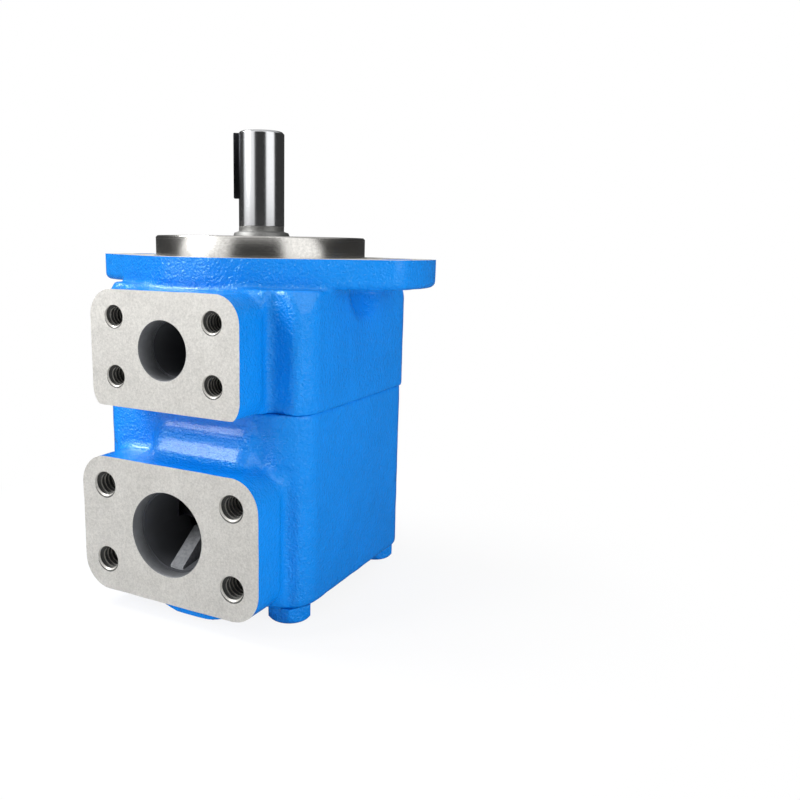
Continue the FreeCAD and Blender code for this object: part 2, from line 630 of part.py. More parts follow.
def make_front_body():
    body = new_body("front_body")
    flange = sketch_on(body, "XY_Plane", "flange_outline", "-flange_thick")
    flange_outline(flange)
    pad(body, flange, "flange_thick", "flange")
    tip = value("ear_tip_dia") / 2

    def ear_corner(middle, along, edge):
        upright = parallel_to(AXIS_Z)(along)
        return upright and abs(math.hypot(middle.x, middle.y) - tip) < 1e-3

    round_edges(body, ear_corner, "ear_corner", "ear_corners")
    round_rim(body, "-flange_thick", "flange_edge", "flange_back")
    cast_block(body, "front", "body_width", "body_depth", "-split_depth",
               "split_depth - flange_thick + flange_edge", "body_corner")
    beside = sketch_on(body, "XY_Plane", "beside_flange_outline", "-flange_thick")
    flange_outline(beside)
    draw_outline(beside, rectangle("2 * body_width", "-body_depth", "body_depth"))
    pocket(body, beside, "flange_edge", "beside_flange", backwards=True)
    slope_start = f"({COLUMN_REACH} - column_slope_width)"
    turn(body, [
        (slope_start, "-flange_thick"),
        (f"{slope_start} + 2 * column_slope_width", "-flange_thick"),
        (f"{slope_start} + 2 * column_slope_width", "-flange_thick - 2 * column_slope_drop"),
    ], "column_tops", cut=True)
    round_rim(body, "-split_depth", "body_edge", "joint_rim")
    port_boss(body, "outlet", "outlet_pad_width", "outlet_pad_top", OUTLET_PAD_END, "outlet_pad_corner")
    valley(body, "outlet", "outlet_pad_width", "body_depth", f"-{OUTLET_PAD_END}",
           f"{OUTLET_PAD_END} - flange_thick")
    below = sketch_on(body, "XY_Plane", "joint_cut_outline", "-split_depth")
    draw_outline(below, rectangle("2 * body_width", "-2 * port_reach", "2 * port_reach"))
    pocket(body, below, "outlet_pad_spare + 1", "joint_cut")
    for side, word in ((-1, "left"), (1, "right")):
        recess = body.newObject("PartDesign::SubtractiveSphere", f"wrench_room_{word}")
        plane = next(f for f in body.Origin.OriginFeatures if f.Role == "XY_Plane")
        recess.AttachmentSupport = [(plane, "")]
        recess.MapMode = "FlatFace"
        recess.setExpression("Radius", full("wrench_room_dia / 2"))
        recess.setExpression("AttachmentOffset.Base.x", full(f"{side} * bolt_span / 2"))
        recess.setExpression("AttachmentOffset.Base.z", full("-flange_thick"))
        recess.Angle1 = -90
        recess.Angle2 = 0
        doc.recompute()
    turn(body, [
        ("0", "-flange_thick / 2"),
        ("pilot_dia / 2", "-flange_thick / 2"),
        ("pilot_dia / 2", "pilot_height - pilot_edge"),
        ("pilot_dia / 2 - pilot_edge", "pilot_height"),
        ("0", "pilot_height"),
    ], "pilot")
    turn(body, [
        ("pilot_dia / 2", "-relief_depth"),
        ("pilot_dia / 2 + relief_width", "-relief_depth"),
        ("pilot_dia / 2 + relief_width", "relief_depth"),
        ("pilot_dia / 2", "relief_depth"),
    ], "pilot_relief", cut=True)
    seal_end = "(pilot_height - seal_bore_depth)"
    turn(body, [
        ("0", "pilot_height + 1"),
        ("seal_dia / 2 + seat_gap", "pilot_height + 1"),
        ("seal_dia / 2 + seat_gap", seal_end),
        ("seal_web_bore_dia / 2", seal_end),
        ("seal_web_bore_dia / 2", "-bearing_front"),
        ("bearing_outer_dia / 2 + seat_gap", "-bearing_front"),
        ("bearing_outer_dia / 2 + seat_gap", BEARING_BACK),
        ("bearing_outer_dia / 2 + groove_depth", BEARING_BACK),
        ("bearing_outer_dia / 2 + groove_depth", f"{BEARING_BACK} - ring_thick"),
        ("bearing_outer_dia / 2 + seat_gap", f"{BEARING_BACK} - ring_thick"),
        ("bearing_outer_dia / 2 + seat_gap", CHAMBER_START),
        ("hub_dia / 2 + seat_gap", CHAMBER_START),
        ("hub_dia / 2 + seat_gap", STACK_FRONT),
        ("cavity_dia / 2", STACK_FRONT),
        ("cavity_dia / 2", "-split_depth - 1"),
        ("0", "-split_depth - 1"),
    ], "bores", cut=True)
    port_ways(body, "outlet", "outlet_level", "hub_dia")
    port_holes(body, "outlet", "outlet_level")
    holes = sketch_on(body, "XY_Plane", "mounting_hole_circles")
    draw_circles(holes, [(f"{i} * bolt_span / 2", "0", "bolt_hole_dia") for i in (-1, 1)])
    pocket(body, holes, "flange_thick", "mounting_holes")
    screws = sketch_on(body, "XY_Plane", "screw_thread_circles", "-split_depth")
    draw_circles(screws, [(f"{i} * screw_spacing / 2", f"{j} * screw_spacing / 2", "screw_dia")
                          for i in (-1, 1) for j in (-1, 1)])
    pocket(body, screws, "screw_grip + screw_end_room", "screw_threads", backwards=True)
    PARTS.append(body)


def make_rear_cover():
    body = new_body("rear_cover")
    cast_block(body, "cover", "cover_width", "cover_depth", REAR_FACE, "cover_length", "cover_corner")
    round_rim(body, REAR_FACE, "cover_edge", "rear_rim")
    round_rim(body, "-split_depth", "cover_rim", "joint_rim")
    port_boss(body, "inlet", "inlet_pad_width", "inlet_pad_top", "inlet_pad_end", "inlet_pad_corner")
    neck = sketch_on(body, "YZ_Plane", "neck_outline")
    wall = "-cover_depth / 2"
    reach = f"({wall} - neck_round)"
    low = "-inlet_pad_top"
    high = "(-inlet_pad_top + neck_round)"
    inside = f"({wall} + neck_overlap)"
    under = f"({low} - neck_overlap)"
    spots = [(inside, under), (inside, high), (wall, high), (reach, low), (reach, under)]
    points = [vector(value(y), value(z)) for y, z in spots]
    radius = value("neck_round")
    centre = vector(value(reach), value(high))
    neck.addGeometry([
        Part.LineSegment(points[0], points[1]),
        Part.LineSegment(points[1], points[2]),
        Part.ArcOfCircle(Part.Circle(centre, AXIS_Z, radius), 1.5 * math.pi, 2 * math.pi),
        Part.LineSegment(points[3], points[4]),
        Part.LineSegment(points[4], points[0]),
    ], False)
    rules = []
    for a, b in (((0, 2), (1, 1)), ((1, 2), (2, 2)), ((2, 1), (3, 1)), ((3, 2), (4, 1)), ((4, 2), (0, 1))):
        rules.append((Sketcher.Constraint("Coincident", a[0], a[1], b[0], b[1]), None))
    for line, spot in zip((0, 1), spots[:2]):
        rules += held_point(line, 1, *spot)
    rules += held_point(1, 2, *spots[2])
    rules += held_point(3, 1, *spots[3])
    rules += held_point(3, 2, *spots[4])
    rules.append((Sketcher.Constraint("DistanceX", -1, 1, 2, 3, centre.x), reach))
    hold(neck, rules)
    pad(body, neck, "neck_width", "neck", middle=True)
    valley(body, "inlet", "inlet_pad_width", "cover_depth", REAR_FACE, f"-({REAR_FACE}) - inlet_pad_top")
    turn(body, [
        ("0", "-split_depth + 1"),
        ("cavity_dia / 2", "-split_depth + 1"),
        ("cavity_dia / 2", STACK_BACK),
        ("rear_room_dia / 2", STACK_BACK),
        ("rear_room_dia / 2", f"{STACK_BACK} - rear_room"),
        ("0", f"{STACK_BACK} - rear_room"),
    ], "cavity", cut=True)
    turn(body, [
        ("joint_seal_dia / 2 - joint_seal_width / 2", "-split_depth + 1"),
        ("joint_seal_dia / 2 + joint_seal_width / 2", "-split_depth + 1"),
        ("joint_seal_dia / 2 + joint_seal_width / 2", "-split_depth - joint_seal_width"),
        ("joint_seal_dia / 2 - joint_seal_width / 2", "-split_depth - joint_seal_width"),
    ], "joint_seal_groove", cut=True)
    port_ways(body, "inlet", "inlet_level", "rear_room_dia")
    port_holes(body, "inlet", "inlet_level")
    web = sketch_on(body, "YZ_Plane", "web_outline")
    floor = f"({STACK_BACK} - rear_room - 1)"
    draw_outline(web, [
        ("-web_reach", floor),
        ("-web_reach", "-inlet_level - inlet_way_dia / 2 + web_toe"),
        ("-cavity_dia / 2", STACK_BACK),
        ("rear_room_dia / 2 + 1", STACK_BACK),
        ("rear_room_dia / 2 + 1", floor),
    ])
    pad(body, web, "web_thick", "web", middle=True)
    screws = sketch_on(body, "XY_Plane", "screw_hole_circles", "-split_depth")
    draw_circles(screws, [(f"{i} * screw_spacing / 2", f"{j} * screw_spacing / 2", "screw_hole_dia")
                          for i in (-1, 1) for j in (-1, 1)])
    pocket(body, screws, "cover_length + 1", "screw_holes")
    PARTS.append(body)


def make_cover_screws():
    """Four hexagon head screws through the cover into the front body."""
    length = value("cover_length + screw_grip")
    radius = value("screw_dia / 2 - thread_gap")
    across = value("screw_head_flats") / math.sqrt(3)
    head = value("screw_head_height")
    rear = value(REAR_FACE)
    screws = []
    for x, y in four_corners(value("screw_spacing") / 2, value("screw_spacing") / 2):
        angles = [math.tau * k / 6 for k in range(7)]
        corners = [vector(x + across * math.cos(a), y + across * math.sin(a), rear - head) for a in angles]
        block = Part.Face(Part.makePolygon(corners)).extrude(vector(z=head))
        narrow = across - value("screw_head_bevel")
        crown = Part.makeCone(narrow, narrow + head, head, vector(x, y, rear - head))
        shank = Part.makeCylinder(radius, length, vector(x, y, rear))
        screws.append(block.common(crown).fuse(shank).removeSplitter())
    fixed_shape("cover_screws", Part.makeCompound([s.Solids[0] for s in screws]))


def make_joint_seal():
    half = "joint_seal_width / 2"
    mean = "joint_seal_dia / 2"
    turned_piece("cover_seal", [
        (f"{mean} - {half} + seat_gap", "-split_depth"),
        (f"{mean} + {half} - seat_gap", "-split_depth"),
        (f"{mean} + {half} - seat_gap", "-split_depth - joint_seal_width"),
        (f"{mean} - {half} + seat_gap", "-split_depth - joint_seal_width"),
    ])


def make_shaft():
    body = new_body("drive_shaft")
    spline_start = f"({CAM_FRONT} + side_plate_thick / 2)"
    journal_start = f"({CAM_BACK} - side_plate_thick / 2)"
    turn(body, [
        ("0", "shaft_reach - centre_hole_depth"),
        ("centre_hole_dia / 2", "shaft_reach - centre_hole_depth"),
        ("centre_hole_dia / 2", "shaft_reach - (centre_mouth_dia - centre_hole_dia)"),
        ("centre_mouth_dia / 2", "shaft_reach"),
        ("shaft_dia / 2 - shaft_bevel", "shaft_reach"),
        ("shaft_dia / 2", "shaft_reach - shaft_bevel"),
        ("shaft_dia / 2", "collar_reach + collar_bevel"),
        ("collar_tip_dia / 2", "collar_reach + collar_bevel"),
        ("collar_dia / 2", "collar_reach"),
        ("collar_dia / 2", "-bearing_front"),
        ("bearing_bore_dia / 2", "-bearing_front"),
        ("bearing_bore_dia / 2", BEARING_BACK),
        ("bearing_bore_dia / 2 - groove_depth", BEARING_BACK),
        ("bearing_bore_dia / 2 - groove_depth", f"{BEARING_BACK} - ring_thick"),
        ("bearing_bore_dia / 2", f"{BEARING_BACK} - ring_thick"),
        ("bearing_bore_dia / 2", CHAMBER_START),
        ("neck_dia / 2", f"{CHAMBER_START} - 1"),
        ("neck_dia / 2", spline_start),
        ("spline_root_dia / 2", f"{spline_start} - 1"),
        ("spline_root_dia / 2", journal_start),
        ("journal_dia / 2", f"{journal_start} - 0.5"),
        ("journal_dia / 2", f"{INLET_SIDE} - journal_length + 1"),
        ("journal_dia / 2 - 1", f"{INLET_SIDE} - journal_length"),
        ("0", f"{INLET_SIDE} - journal_length"),
    ], "shaft_turn")
    tooth = sketch_on(body, "XY_Plane", "tooth_outline", CAM_BACK)
    draw_outline(tooth, [
        (SPLINE_CORE, "-spline_tooth / 2"),
        ("spline_tip_dia / 2", "-spline_tooth / 2"),
        ("spline_tip_dia / 2", "spline_tooth / 2"),
        (SPLINE_CORE, "spline_tooth / 2"),
    ])
    first = pad(body, tooth, "cam_width", "spline_tooth_pad")
    repeat_round(body, [first], SPLINE_TEETH, "spline")
    doc.recompute()
    turning = FreeCAD.Rotation(AXIS_Z, value("key_angle"))
    body.Placement = FreeCAD.Placement(vector(), turning)
    slot_bottom = "(shaft_dia / 2 - key_sink)"
    slot_end = "keyway_end"
    slot = sketch_on(body, "XZ_Plane", "keyway_outline")
    draw_outline(slot, [
        (slot_bottom, slot_end),
        ("shaft_dia", slot_end),
        ("shaft_dia", "shaft_reach + 1"),
        (slot_bottom, "shaft_reach + 1"),
    ])
    keyway = body.newObject("PartDesign::Pocket", "keyway")
    keyway.Profile = slot
    keyway.Midplane = True
    keyway.setExpression("Length", full("key_width"))
    doc.recompute()
    cutter = sketch_on(body, "XZ_Plane", "cutter_circle")
    draw_circles(cutter, [(f"{slot_bottom} + cutter_dia / 2", slot_end, "cutter_dia")])
    run_out = body.newObject("PartDesign::Pocket", "keyway_run_out")
    run_out.Profile = cutter
    run_out.Midplane = True
    run_out.setExpression("Length", full("key_width"))
    doc.recompute()
    PARTS.append(body)


def make_key():
    body = new_body("shaft_key")
    low = "(shaft_dia / 2 - key_sink)"
    outline = sketch_on(body, "XZ_Plane", "key_outline")
    draw_outline(outline, [
        (low, "shaft_reach - key_setback - key_length"),
        (f"{low} + key_width", "shaft_reach - key_setback - key_length"),
        (f"{low} + key_width", "shaft_reach - key_setback"),
        (low, "shaft_reach - key_setback"),
    ])
    pad(body, outline, "key_width - 2 * seat_gap", "key_pad", middle=True)
    body.Placement = FreeCAD.Placement(vector(), FreeCAD.Rotation(AXIS_Z, value("key_angle")))
    PARTS.append(body)


def make_bearing():
    back = BEARING_BACK
    races = (
        ("bearing_inner_ring", "bearing_bore_dia", "inner_land_dia"),
        ("bearing_outer_ring", "outer_land_dia", "bearing_outer_dia"),
    )
    for label, inner, outer in races:
        blank = ring(f"{label}_blank", outer, inner, "bearing_width", back)
        groove = doc.addObject("Part::Torus", f"{label}_groove")
        bind(groove, Radius1="ball_circle_dia / 2", Radius2=f"{BALL_GROOVE_DIA} / 2", Base_z=RACE_MIDDLE)
        keep(cut(f"{label}_cut", blank, groove), label)
    balls = []
    pockets = []
    radius = value("ball_circle_dia") / 2
    level = value(RACE_MIDDLE)
    for number in range(BALL_COUNT):
        angle = 2 * math.pi * number / BALL_COUNT
        spot = vector(radius * math.cos(angle), radius * math.sin(angle), level)
        balls.append(Part.makeSphere(value("ball_dia") / 2, spot))
        outwards = vector(math.cos(angle), math.sin(angle))
        start = spot - outwards * radius / 2
        pockets.append(Part.makeCylinder(value(BALL_GROOVE_DIA) / 2, radius, start, outwards))
    fixed_shape("bearing_balls", Part.makeCompound(balls))
    low = level - value("cage_width") / 2
    outside = Part.makeCylinder(radius + value("cage_thick") / 2, value("cage_width"), vector(z=low))
    inside = Part.makeCylinder(radius - value("cage_thick") / 2, value("cage_width"), vector(z=low))
    cage = outside.cut(inside)
    # the seam of the cage's walls lies between two pockets
    cage.rotate(vector(), AXIS_Z, 180 / BALL_COUNT)
    for hole in pockets:
        cage = cage.cut(hole)
    fixed_shape("bearing_cage", cage.Solids[0])


def make_retaining_rings():
    """Sprung rings with a gap, one in the body's bore and one on the shaft."""
    level = f"{BEARING_BACK} - ring_thick"
    start = value("ring_gap_place + ring_gap_angle / 2")
    rings = (
        ("bore_retaining_ring", "bearing_outer_dia + 2 * groove_depth - 2 * seat_gap",
         "bearing_outer_dia - 2 * ring_rise"),
        ("shaft_retaining_ring", "bearing_bore_dia + 2 * ring_rise",
         "bearing_bore_dia - 2 * groove_depth + 2 * seat_gap"),
    )
    span = "360 - ring_gap_angle"
    for label, outer, inner in rings:
        keep(ring(f"{label}_cut", outer, inner, "ring_thick", level, span=span, start=start), label)


def make_shaft_seal():
    wall = "case_wall"
    outer = "seal_dia / 2"
    turned_piece("seal_case", [
        (outer, SEAL_BACK),
        (outer, SEAL_FRONT),
        ("case_bore_dia / 2", SEAL_FRONT),
        ("case_bore_dia / 2", f"{SEAL_FRONT} - {wall}"),
        (f"{outer} - {wall}", f"{SEAL_FRONT} - {wall}"),
        (f"{outer} - {wall}", SEAL_BACK),
    ])
    bottom = f"({SEAL_FRONT} - {wall})"
    touch = "(collar_dia / 2 + run_gap)"
    lip_end = f"({SEAL_BACK} + lip_end_room)"
    turned_piece("seal_lip", [
        (f"{outer} - {wall}", bottom),
        (touch, bottom),
        (touch, f"{bottom} - lip_flat"),
        (f"{touch} + lip_hollow", f"{bottom} - {wall}"),
        (touch, f"{lip_end} + lip_point"),
        (f"{touch} + lip_point / 3", lip_end),
        (f"{touch} + lip_wall", lip_end),
        (f"{touch} + lip_wall + lip_taper", f"{bottom} - lip_wall"),
        (f"{outer} - {wall}", f"{bottom} - lip_wall"),
    ])
    spring = doc.addObject("Part::Torus", "seal_spring")
    radius = "spring_wire_dia / 2"
    bind(spring, Radius1=f"{touch} + lip_wall + lip_taper / 2 + spring_gap + {radius}", Radius2=radius,
         Base_z=f"{lip_end} + {radius} + spring_gap")
    keep(spring, "seal_spring")


def kidneys(name, inner, outer, height, z, centres):
    """Curved ports that follow the vane chambers, one round each given angle."""
    half = value("kidney_angle") / 2
    return fused(f"{name}_ports", [
        ring(f"{name}_port_{number}", outer, inner, height, z, span="kidney_angle", start=centre - half)
        for number, centre in enumerate(centres)
    ])


PRESSURE_SIDES = (135, 315)
SUCTION_SIDES = (45, 225)


def tie_holes(name, height, z, pins="pin_dia", screws="tie_screw_dia"):
    """Holes for the pins on the Y axis and the screws on the X axis."""
    spots = [("0", "tie_circle_dia / 2", pins), ("0", "-tie_circle_dia / 2", pins),
             ("tie_circle_dia / 2", "0", screws), ("-tie_circle_dia / 2", "0", screws)]
    return [cylinder(f"{name}_tie_{number}", f"{diameter} + 2 * seat_gap", height, x=x, y=y, z=z)
            for number, (x, y, diameter) in enumerate(spots)]


def intake_cut(name, low, high, inner):
    """Straight cuts from the rim inwards on the suction sides."""
    shapes = []
    width = value("intake_width")
    start = value(inner) / 2
    reach = value("cartridge_dia")
    for angle in SUCTION_SIDES:
        block = Part.makeBox(reach, width, value(high) - value(low), vector(start, -width / 2, value(low)))
        block.rotate(vector(), AXIS_Z, angle)
        shapes.append(block)
    made = doc.addObject("Part::Feature", name)
    made.Shape = Part.makeCompound(shapes)
    return made


def make_plates():
    """The plates that close the cam ring, and the hub that seals the outlet room."""
    flange = cylinder("outlet_plate_disc", "cartridge_dia", "outlet_plate_thick", z=OUTLET_SIDE)
    hub = cylinder("outlet_plate_hub", "hub_dia", "hub_length", z=STACK_FRONT)
    start = f"{OUTLET_SIDE} - 1"
    through = "hub_length + outlet_plate_thick + 2"
    groove_low = f"({STACK_FRONT} + hub_length / 2 - hub_seal_width)"
    groove_dia = "(hub_dia - 2 * hub_groove_depth)"
    groove = ring("hub_groove", "hub_dia + 2", groove_dia, "hub_seal_width + backup_thick", groove_low)
    bore = cylinder("outlet_plate_bore", "plate_bore_dia", through, z=start)
    ports = kidneys("outlet_plate", "pressure_inner_dia", "pressure_outer_dia", through, start,
                    PRESSURE_SIDES)
    ties = tie_holes("outlet_plate", "tie_grip + 1", start)
    body = fused("outlet_plate_body", [flange, hub])
    tools = fused("outlet_plate_tools", [groove, bore, ports] + ties)
    keep(cut("outlet_plate_cut", body, tools), "outlet_support_plate")
    seated_dia = f"{groove_dia} + 2 * seat_gap"
    keep(ring("hub_seal_ring", "hub_dia", seated_dia, "hub_seal_width", groove_low), "hub_seal")
    keep(ring("backup_ring_ring", "hub_dia", seated_dia, "backup_thick", f"{groove_low} + hub_seal_width"),
         "hub_backup_ring")
    side_plates = (
        ("outlet_side_plate", CAM_FRONT, PRESSURE_SIDES, "pressure_inner_dia", "cam_major_dia"),
        ("inlet_side_plate", INLET_SIDE, SUCTION_SIDES, "suction_inner_dia", "suction_outer_dia"),
    )
    through = "side_plate_thick + 2"
    for label, level, sides, inner, outer in side_plates:
        disc = cylinder(f"{label}_disc", "cartridge_dia", "side_plate_thick", z=level)
        bore = cylinder(f"{label}_bore", "plate_bore_dia", through, z=f"{level} - 1")
        ports = kidneys(label, inner, outer, through, f"{level} - 1", sides)
        ties = tie_holes(label, through, f"{level} - 1")
        keep(cut(f"{label}_cut", disc, fused(f"{label}_tools", [bore, ports] + ties)), label)
    start = f"{STACK_BACK} - 1"
    through = "inlet_plate_thick + 2"
    disc = cylinder("inlet_plate_disc", "cartridge_dia", "inlet_plate_thick", z=STACK_BACK)
    bushing_dia = "journal_dia + 2 * run_gap + 2 * bushing_wall"
    bore = cylinder("inlet_plate_bore", f"{bushing_dia} + 2 * seat_gap", through, z=start)
    ties = tie_holes("inlet_plate", through, start)
    heads = []
    for side, word in ((-1, "left"), (1, "right")):
        heads.append(cylinder(f"inlet_plate_head_{word}", "tie_head_dia + 2 * tie_head_gap",
                              "tie_head_height + 1", x=f"{side} * tie_circle_dia / 2", z=start))
    doc.recompute()
    intake = intake_cut("inlet_plate_intake", f"{INLET_SIDE} - intake_depth", f"{INLET_SIDE} + 1",
                        "suction_inner_dia")
    tools = fused("inlet_plate_tools", [bore, intake] + ties + heads)
    keep(cut("inlet_plate_cut", disc, tools), "inlet_support_plate")
    keep(ring("bushing_ring", bushing_dia, "journal_dia + 2 * run_gap", "inlet_plate_thick", STACK_BACK),
         "rear_bushing")


def cam_radius(angle):
    """Bore radius at an angle in degrees: dwells joined by harmonic ramps."""
    small = value("cam_minor_dia") / 2
    large = value("cam_major_dia") / 2
    half = value("dwell_angle") / 2
    folded = abs((angle + 90) % 180 - 90)
    share = min(max((folded - half) / (90 - 2 * half), 0.0), 1.0)
    return small + (large - small) * (1 - math.cos(math.pi * share)) / 2


def cam_bore(low, height):
    """The cam surface as dwell arcs and ramp curves, extruded."""
    half = value("dwell_angle") / 2

    def spot(angle):
        radius = cam_radius(angle)
        return vector(radius * math.cos(math.radians(angle)), radius * math.sin(math.radians(angle)), low)

    def heading(angle):
        return vector(-math.sin(math.radians(angle)), math.cos(math.radians(angle)))

    edges = []
    steps = 8
    for quarter in range(4):
        middle = 90 * quarter
        edges.append(Part.Arc(spot(middle - half), spot(middle), spot(middle + half)).toShape())
        start, end = middle + half, middle + 90 - half
        spots = [spot(start + (end - start) * i / steps) for i in range(steps + 1)]
        ramp = Part.BSplineCurve()
        ramp.interpolate(Points=spots, InitialTangent=heading(start), FinalTangent=heading(end))
        edges.append(ramp.toShape())
    return Part.Face(Part.Wire(edges)).extrude(vector(z=height))


def make_cam_ring():
    width = value("cam_width")
    low = value(CAM_BACK)
    blank = Part.makeCylinder(value("cartridge_dia") / 2, width, vector(z=low))
    made = blank.cut(cam_bore(low - 1, width + 2))
    circle = value("tie_circle_dia") / 2
    for x, y, diameter in ((0, circle, "pin_dia"), (0, -circle, "pin_dia"),
                           (circle, 0, "tie_screw_dia"), (-circle, 0, "tie_screw_dia")):
        hole = Part.makeCylinder(value(diameter) / 2 + value("seat_gap"), width + 2, vector(x, y, low - 1))
        made = made.cut(hole)
    cuts = intake_cut("cam_intake", CAM_BACK, f"{CAM_BACK} + intake_depth / 2", "cam_major_dia - 1")
    made = made.cut(cuts.Shape)
    fixed_shape("cam_ring", made.Solids[0])


def make_rotor():
    body = new_body("rotor")
    disc = sketch_on(body, "XY_Plane", "rotor_circles", f"{CAM_BACK} + end_gap")
    draw_circles(disc, [("0", "0", ROTOR_DIA), ("0", "0", "spline_root_dia + 2 * seat_gap")])
    length = "cam_width - 2 * end_gap"
    pad(body, disc, length, "rotor_disc")
    slot = sketch_on(body, "XY_Plane", "slot_outline", CAM_FRONT)
    half = "(vane_thick / 2 + slot_gap)"
    draw_outline(slot, [
        (SLOT_BOTTOM, f"-{half}"),
        (f"{ROTOR_DIA} / 2 + 1", f"-{half}"),
        (f"{ROTOR_DIA} / 2 + 1", half),
        (SLOT_BOTTOM, half),
    ])
    first_slot = pocket(body, slot, "cam_width", "vane_slot")
    foot = sketch_on(body, "XY_Plane", "slot_foot_circle", CAM_FRONT)
    draw_circles(foot, [(SLOT_BOTTOM, "0", "slot_foot_dia")])
    first_foot = pocket(body, foot, "cam_width", "slot_foot")
    repeat_round(body, [first_slot, first_foot], VANE_COUNT, "vane_slots")
    keyed = sketch_on(body, "XY_Plane", "spline_gap_outline", CAM_FRONT)
    keyed.AttachmentOffset = FreeCAD.Placement(vector(z=value(CAM_FRONT)),
                                               FreeCAD.Rotation(AXIS_Z, value("key_angle")))
    side = "(spline_tooth / 2 + seat_gap)"
    draw_outline(keyed, [
        (SPLINE_CORE, f"-{side}"),
        ("spline_tip_dia / 2 + spline_tip_gap", f"-{side}"),
        ("spline_tip_dia / 2 + spline_tip_gap", side),
        (SPLINE_CORE, side),
    ])
    first_gap = pocket(body, keyed, "cam_width", "spline_gap")
    pattern = repeat_round(body, [first_gap], SPLINE_TEETH, "spline_bore")
    body.Tip = pattern
    PARTS.append(body)


def make_vanes():
    """Vanes drawn in, each with a notch that holds its insert."""
    low = f"{CAM_BACK} + end_gap"
    high = f"{CAM_FRONT} - end_gap"
    middle = f"({CAM_BACK} + cam_width / 2)"
    roof = f"({SLOT_BOTTOM} + seat_gap + insert_height + insert_play)"
    half = "(insert_length / 2 + notch_gap)"
    for number in range(VANE_COUNT):
        body = new_body(f"vane_{number + 1:02d}")
        outline = sketch_on(body, "XZ_Plane", f"vane_outline_{number + 1}")
        draw_outline(outline, [
            (VANE_TIP, low),
            (VANE_TIP, high),
            (VANE_FOOT, high),
            (VANE_FOOT, f"{middle} + {half}"),
            (roof, f"{middle} + {half}"),
            (roof, f"{middle} - {half}"),
            (VANE_FOOT, f"{middle} - {half}"),
            (VANE_FOOT, low),
        ])
        pad(body, outline, "vane_thick", f"vane_plate_{number + 1}", middle=True)
        body.Placement = FreeCAD.Placement(vector(), FreeCAD.Rotation(AXIS_Z, 360 * number / VANE_COUNT))
        PARTS.append(body)


def make_inserts():
    length = value("insert_length")
    height = value("insert_height")
    thick = value("vane_thick")
    foot = value(f"{SLOT_BOTTOM} + seat_gap")
    level = value(f"{CAM_BACK} + cam_width / 2")
    pieces = []
    for number in range(VANE_COUNT):
        piece = Part.makeBox(height, thick, length, vector(foot, -thick / 2, level - length / 2))
        piece.rotate(vector(), AXIS_Z, 360 * number / VANE_COUNT)
        pieces.append(piece)
    fixed_shape("vane_inserts", Part.makeCompound(pieces))


def make_ties():
    """The pins and screws that hold the cartridge together."""
    circle = value("tie_circle_dia") / 2
    front = value(f"{OUTLET_SIDE} + tie_grip - tie_end_gap")
    back = value(STACK_BACK)
    pin_back = back + 2 * value("tie_end_gap")
    head_radius = value("tie_head_dia") / 2
    head_height = value("tie_head_height")
    head_top = back + head_height
    slot_width = value("tie_slot")
    pins = []
    screws = []
    for side in (-1, 1):
        middle = side * circle
        pins.append(Part.makeCylinder(value("pin_dia") / 2, front - pin_back, vector(0, middle, pin_back)))
        shank = Part.makeCylinder(value("tie_screw_dia") / 2, front - head_top, vector(middle, 0, head_top))
        head = Part.makeCylinder(head_radius, head_height, vector(middle, 0, back))
        corner = vector(middle - head_radius, -slot_width / 2, back)
        slot = Part.makeBox(2 * head_radius, slot_width, slot_width, corner)
        screws.append(shank.fuse(head).cut(slot))
    fixed_shape("locating_pins", Part.makeCompound(pins))
    fixed_shape("cartridge_screws", Part.makeCompound([s.Solids[0] for s in screws]))


def check_document():
    """Stops before anything is written if an object failed or a shape is bad."""
    doc.recompute()
    for thing in doc.Objects:
        if "Invalid" in thing.State or "Error" in thing.State:
            raise ValueError(f"{thing.Label} is {thing.State}")
    for part in PARTS:
        if part.Shape.isNull() or not part.Shape.isValid() or not part.Shape.Solids:
            raise ValueError(f"{part.Label} has no valid shape")


def write_parts():
    os.makedirs("parts", exist_ok=True)
    for part in PARTS:
        part.Shape.exportStep(f"parts/{part.Label}.step")


make_front_body()
make_rear_cover()
make_cover_screws()
make_joint_seal()
make_shaft()
make_key()
make_bearing()
make_retaining_rings()
make_shaft_seal()
make_plates()
make_cam_ring()
make_rotor()
make_vanes()
make_inserts()
make_ties()
check_document()
write_parts()
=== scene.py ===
import math
from functools import partial
from types import SimpleNamespace

import bmesh
import bpy
import numpy as np
import openvdb
from bpy.props import FloatProperty, FloatVectorProperty, PointerProperty
from bpy.types import Operator, Panel, PropertyGroup
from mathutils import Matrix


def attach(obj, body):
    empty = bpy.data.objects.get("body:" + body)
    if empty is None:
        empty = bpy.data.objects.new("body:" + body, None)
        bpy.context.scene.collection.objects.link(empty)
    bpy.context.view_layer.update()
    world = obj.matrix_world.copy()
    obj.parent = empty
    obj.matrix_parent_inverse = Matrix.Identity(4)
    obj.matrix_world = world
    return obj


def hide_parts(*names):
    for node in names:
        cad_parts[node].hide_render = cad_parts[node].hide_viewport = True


bl_info = {
    "name": "Hydraulic vane pump",
    "version": (1, 0, 0),
    "blender": (4, 5, 0),
    "location": "View3D > Sidebar > Pump",
    "description": "Dresses the packed vane pump with its castings, turned steel and paint",
    "category": "Object",
}

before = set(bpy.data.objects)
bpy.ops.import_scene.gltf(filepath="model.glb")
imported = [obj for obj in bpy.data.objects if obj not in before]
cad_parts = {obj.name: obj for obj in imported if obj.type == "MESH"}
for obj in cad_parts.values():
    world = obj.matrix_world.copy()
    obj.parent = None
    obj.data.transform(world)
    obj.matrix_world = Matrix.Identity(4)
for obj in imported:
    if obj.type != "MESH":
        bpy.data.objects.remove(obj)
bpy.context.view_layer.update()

# Lengths inside the shape functions are millimetres, and become metres when a mesh is made.
MM = 0.001
TURN = 2 * math.pi
# Cutters reach this far past the pump, and profiles stop this close to the axis.
FAR = 200.0
NEAR_AXIS = 0.02


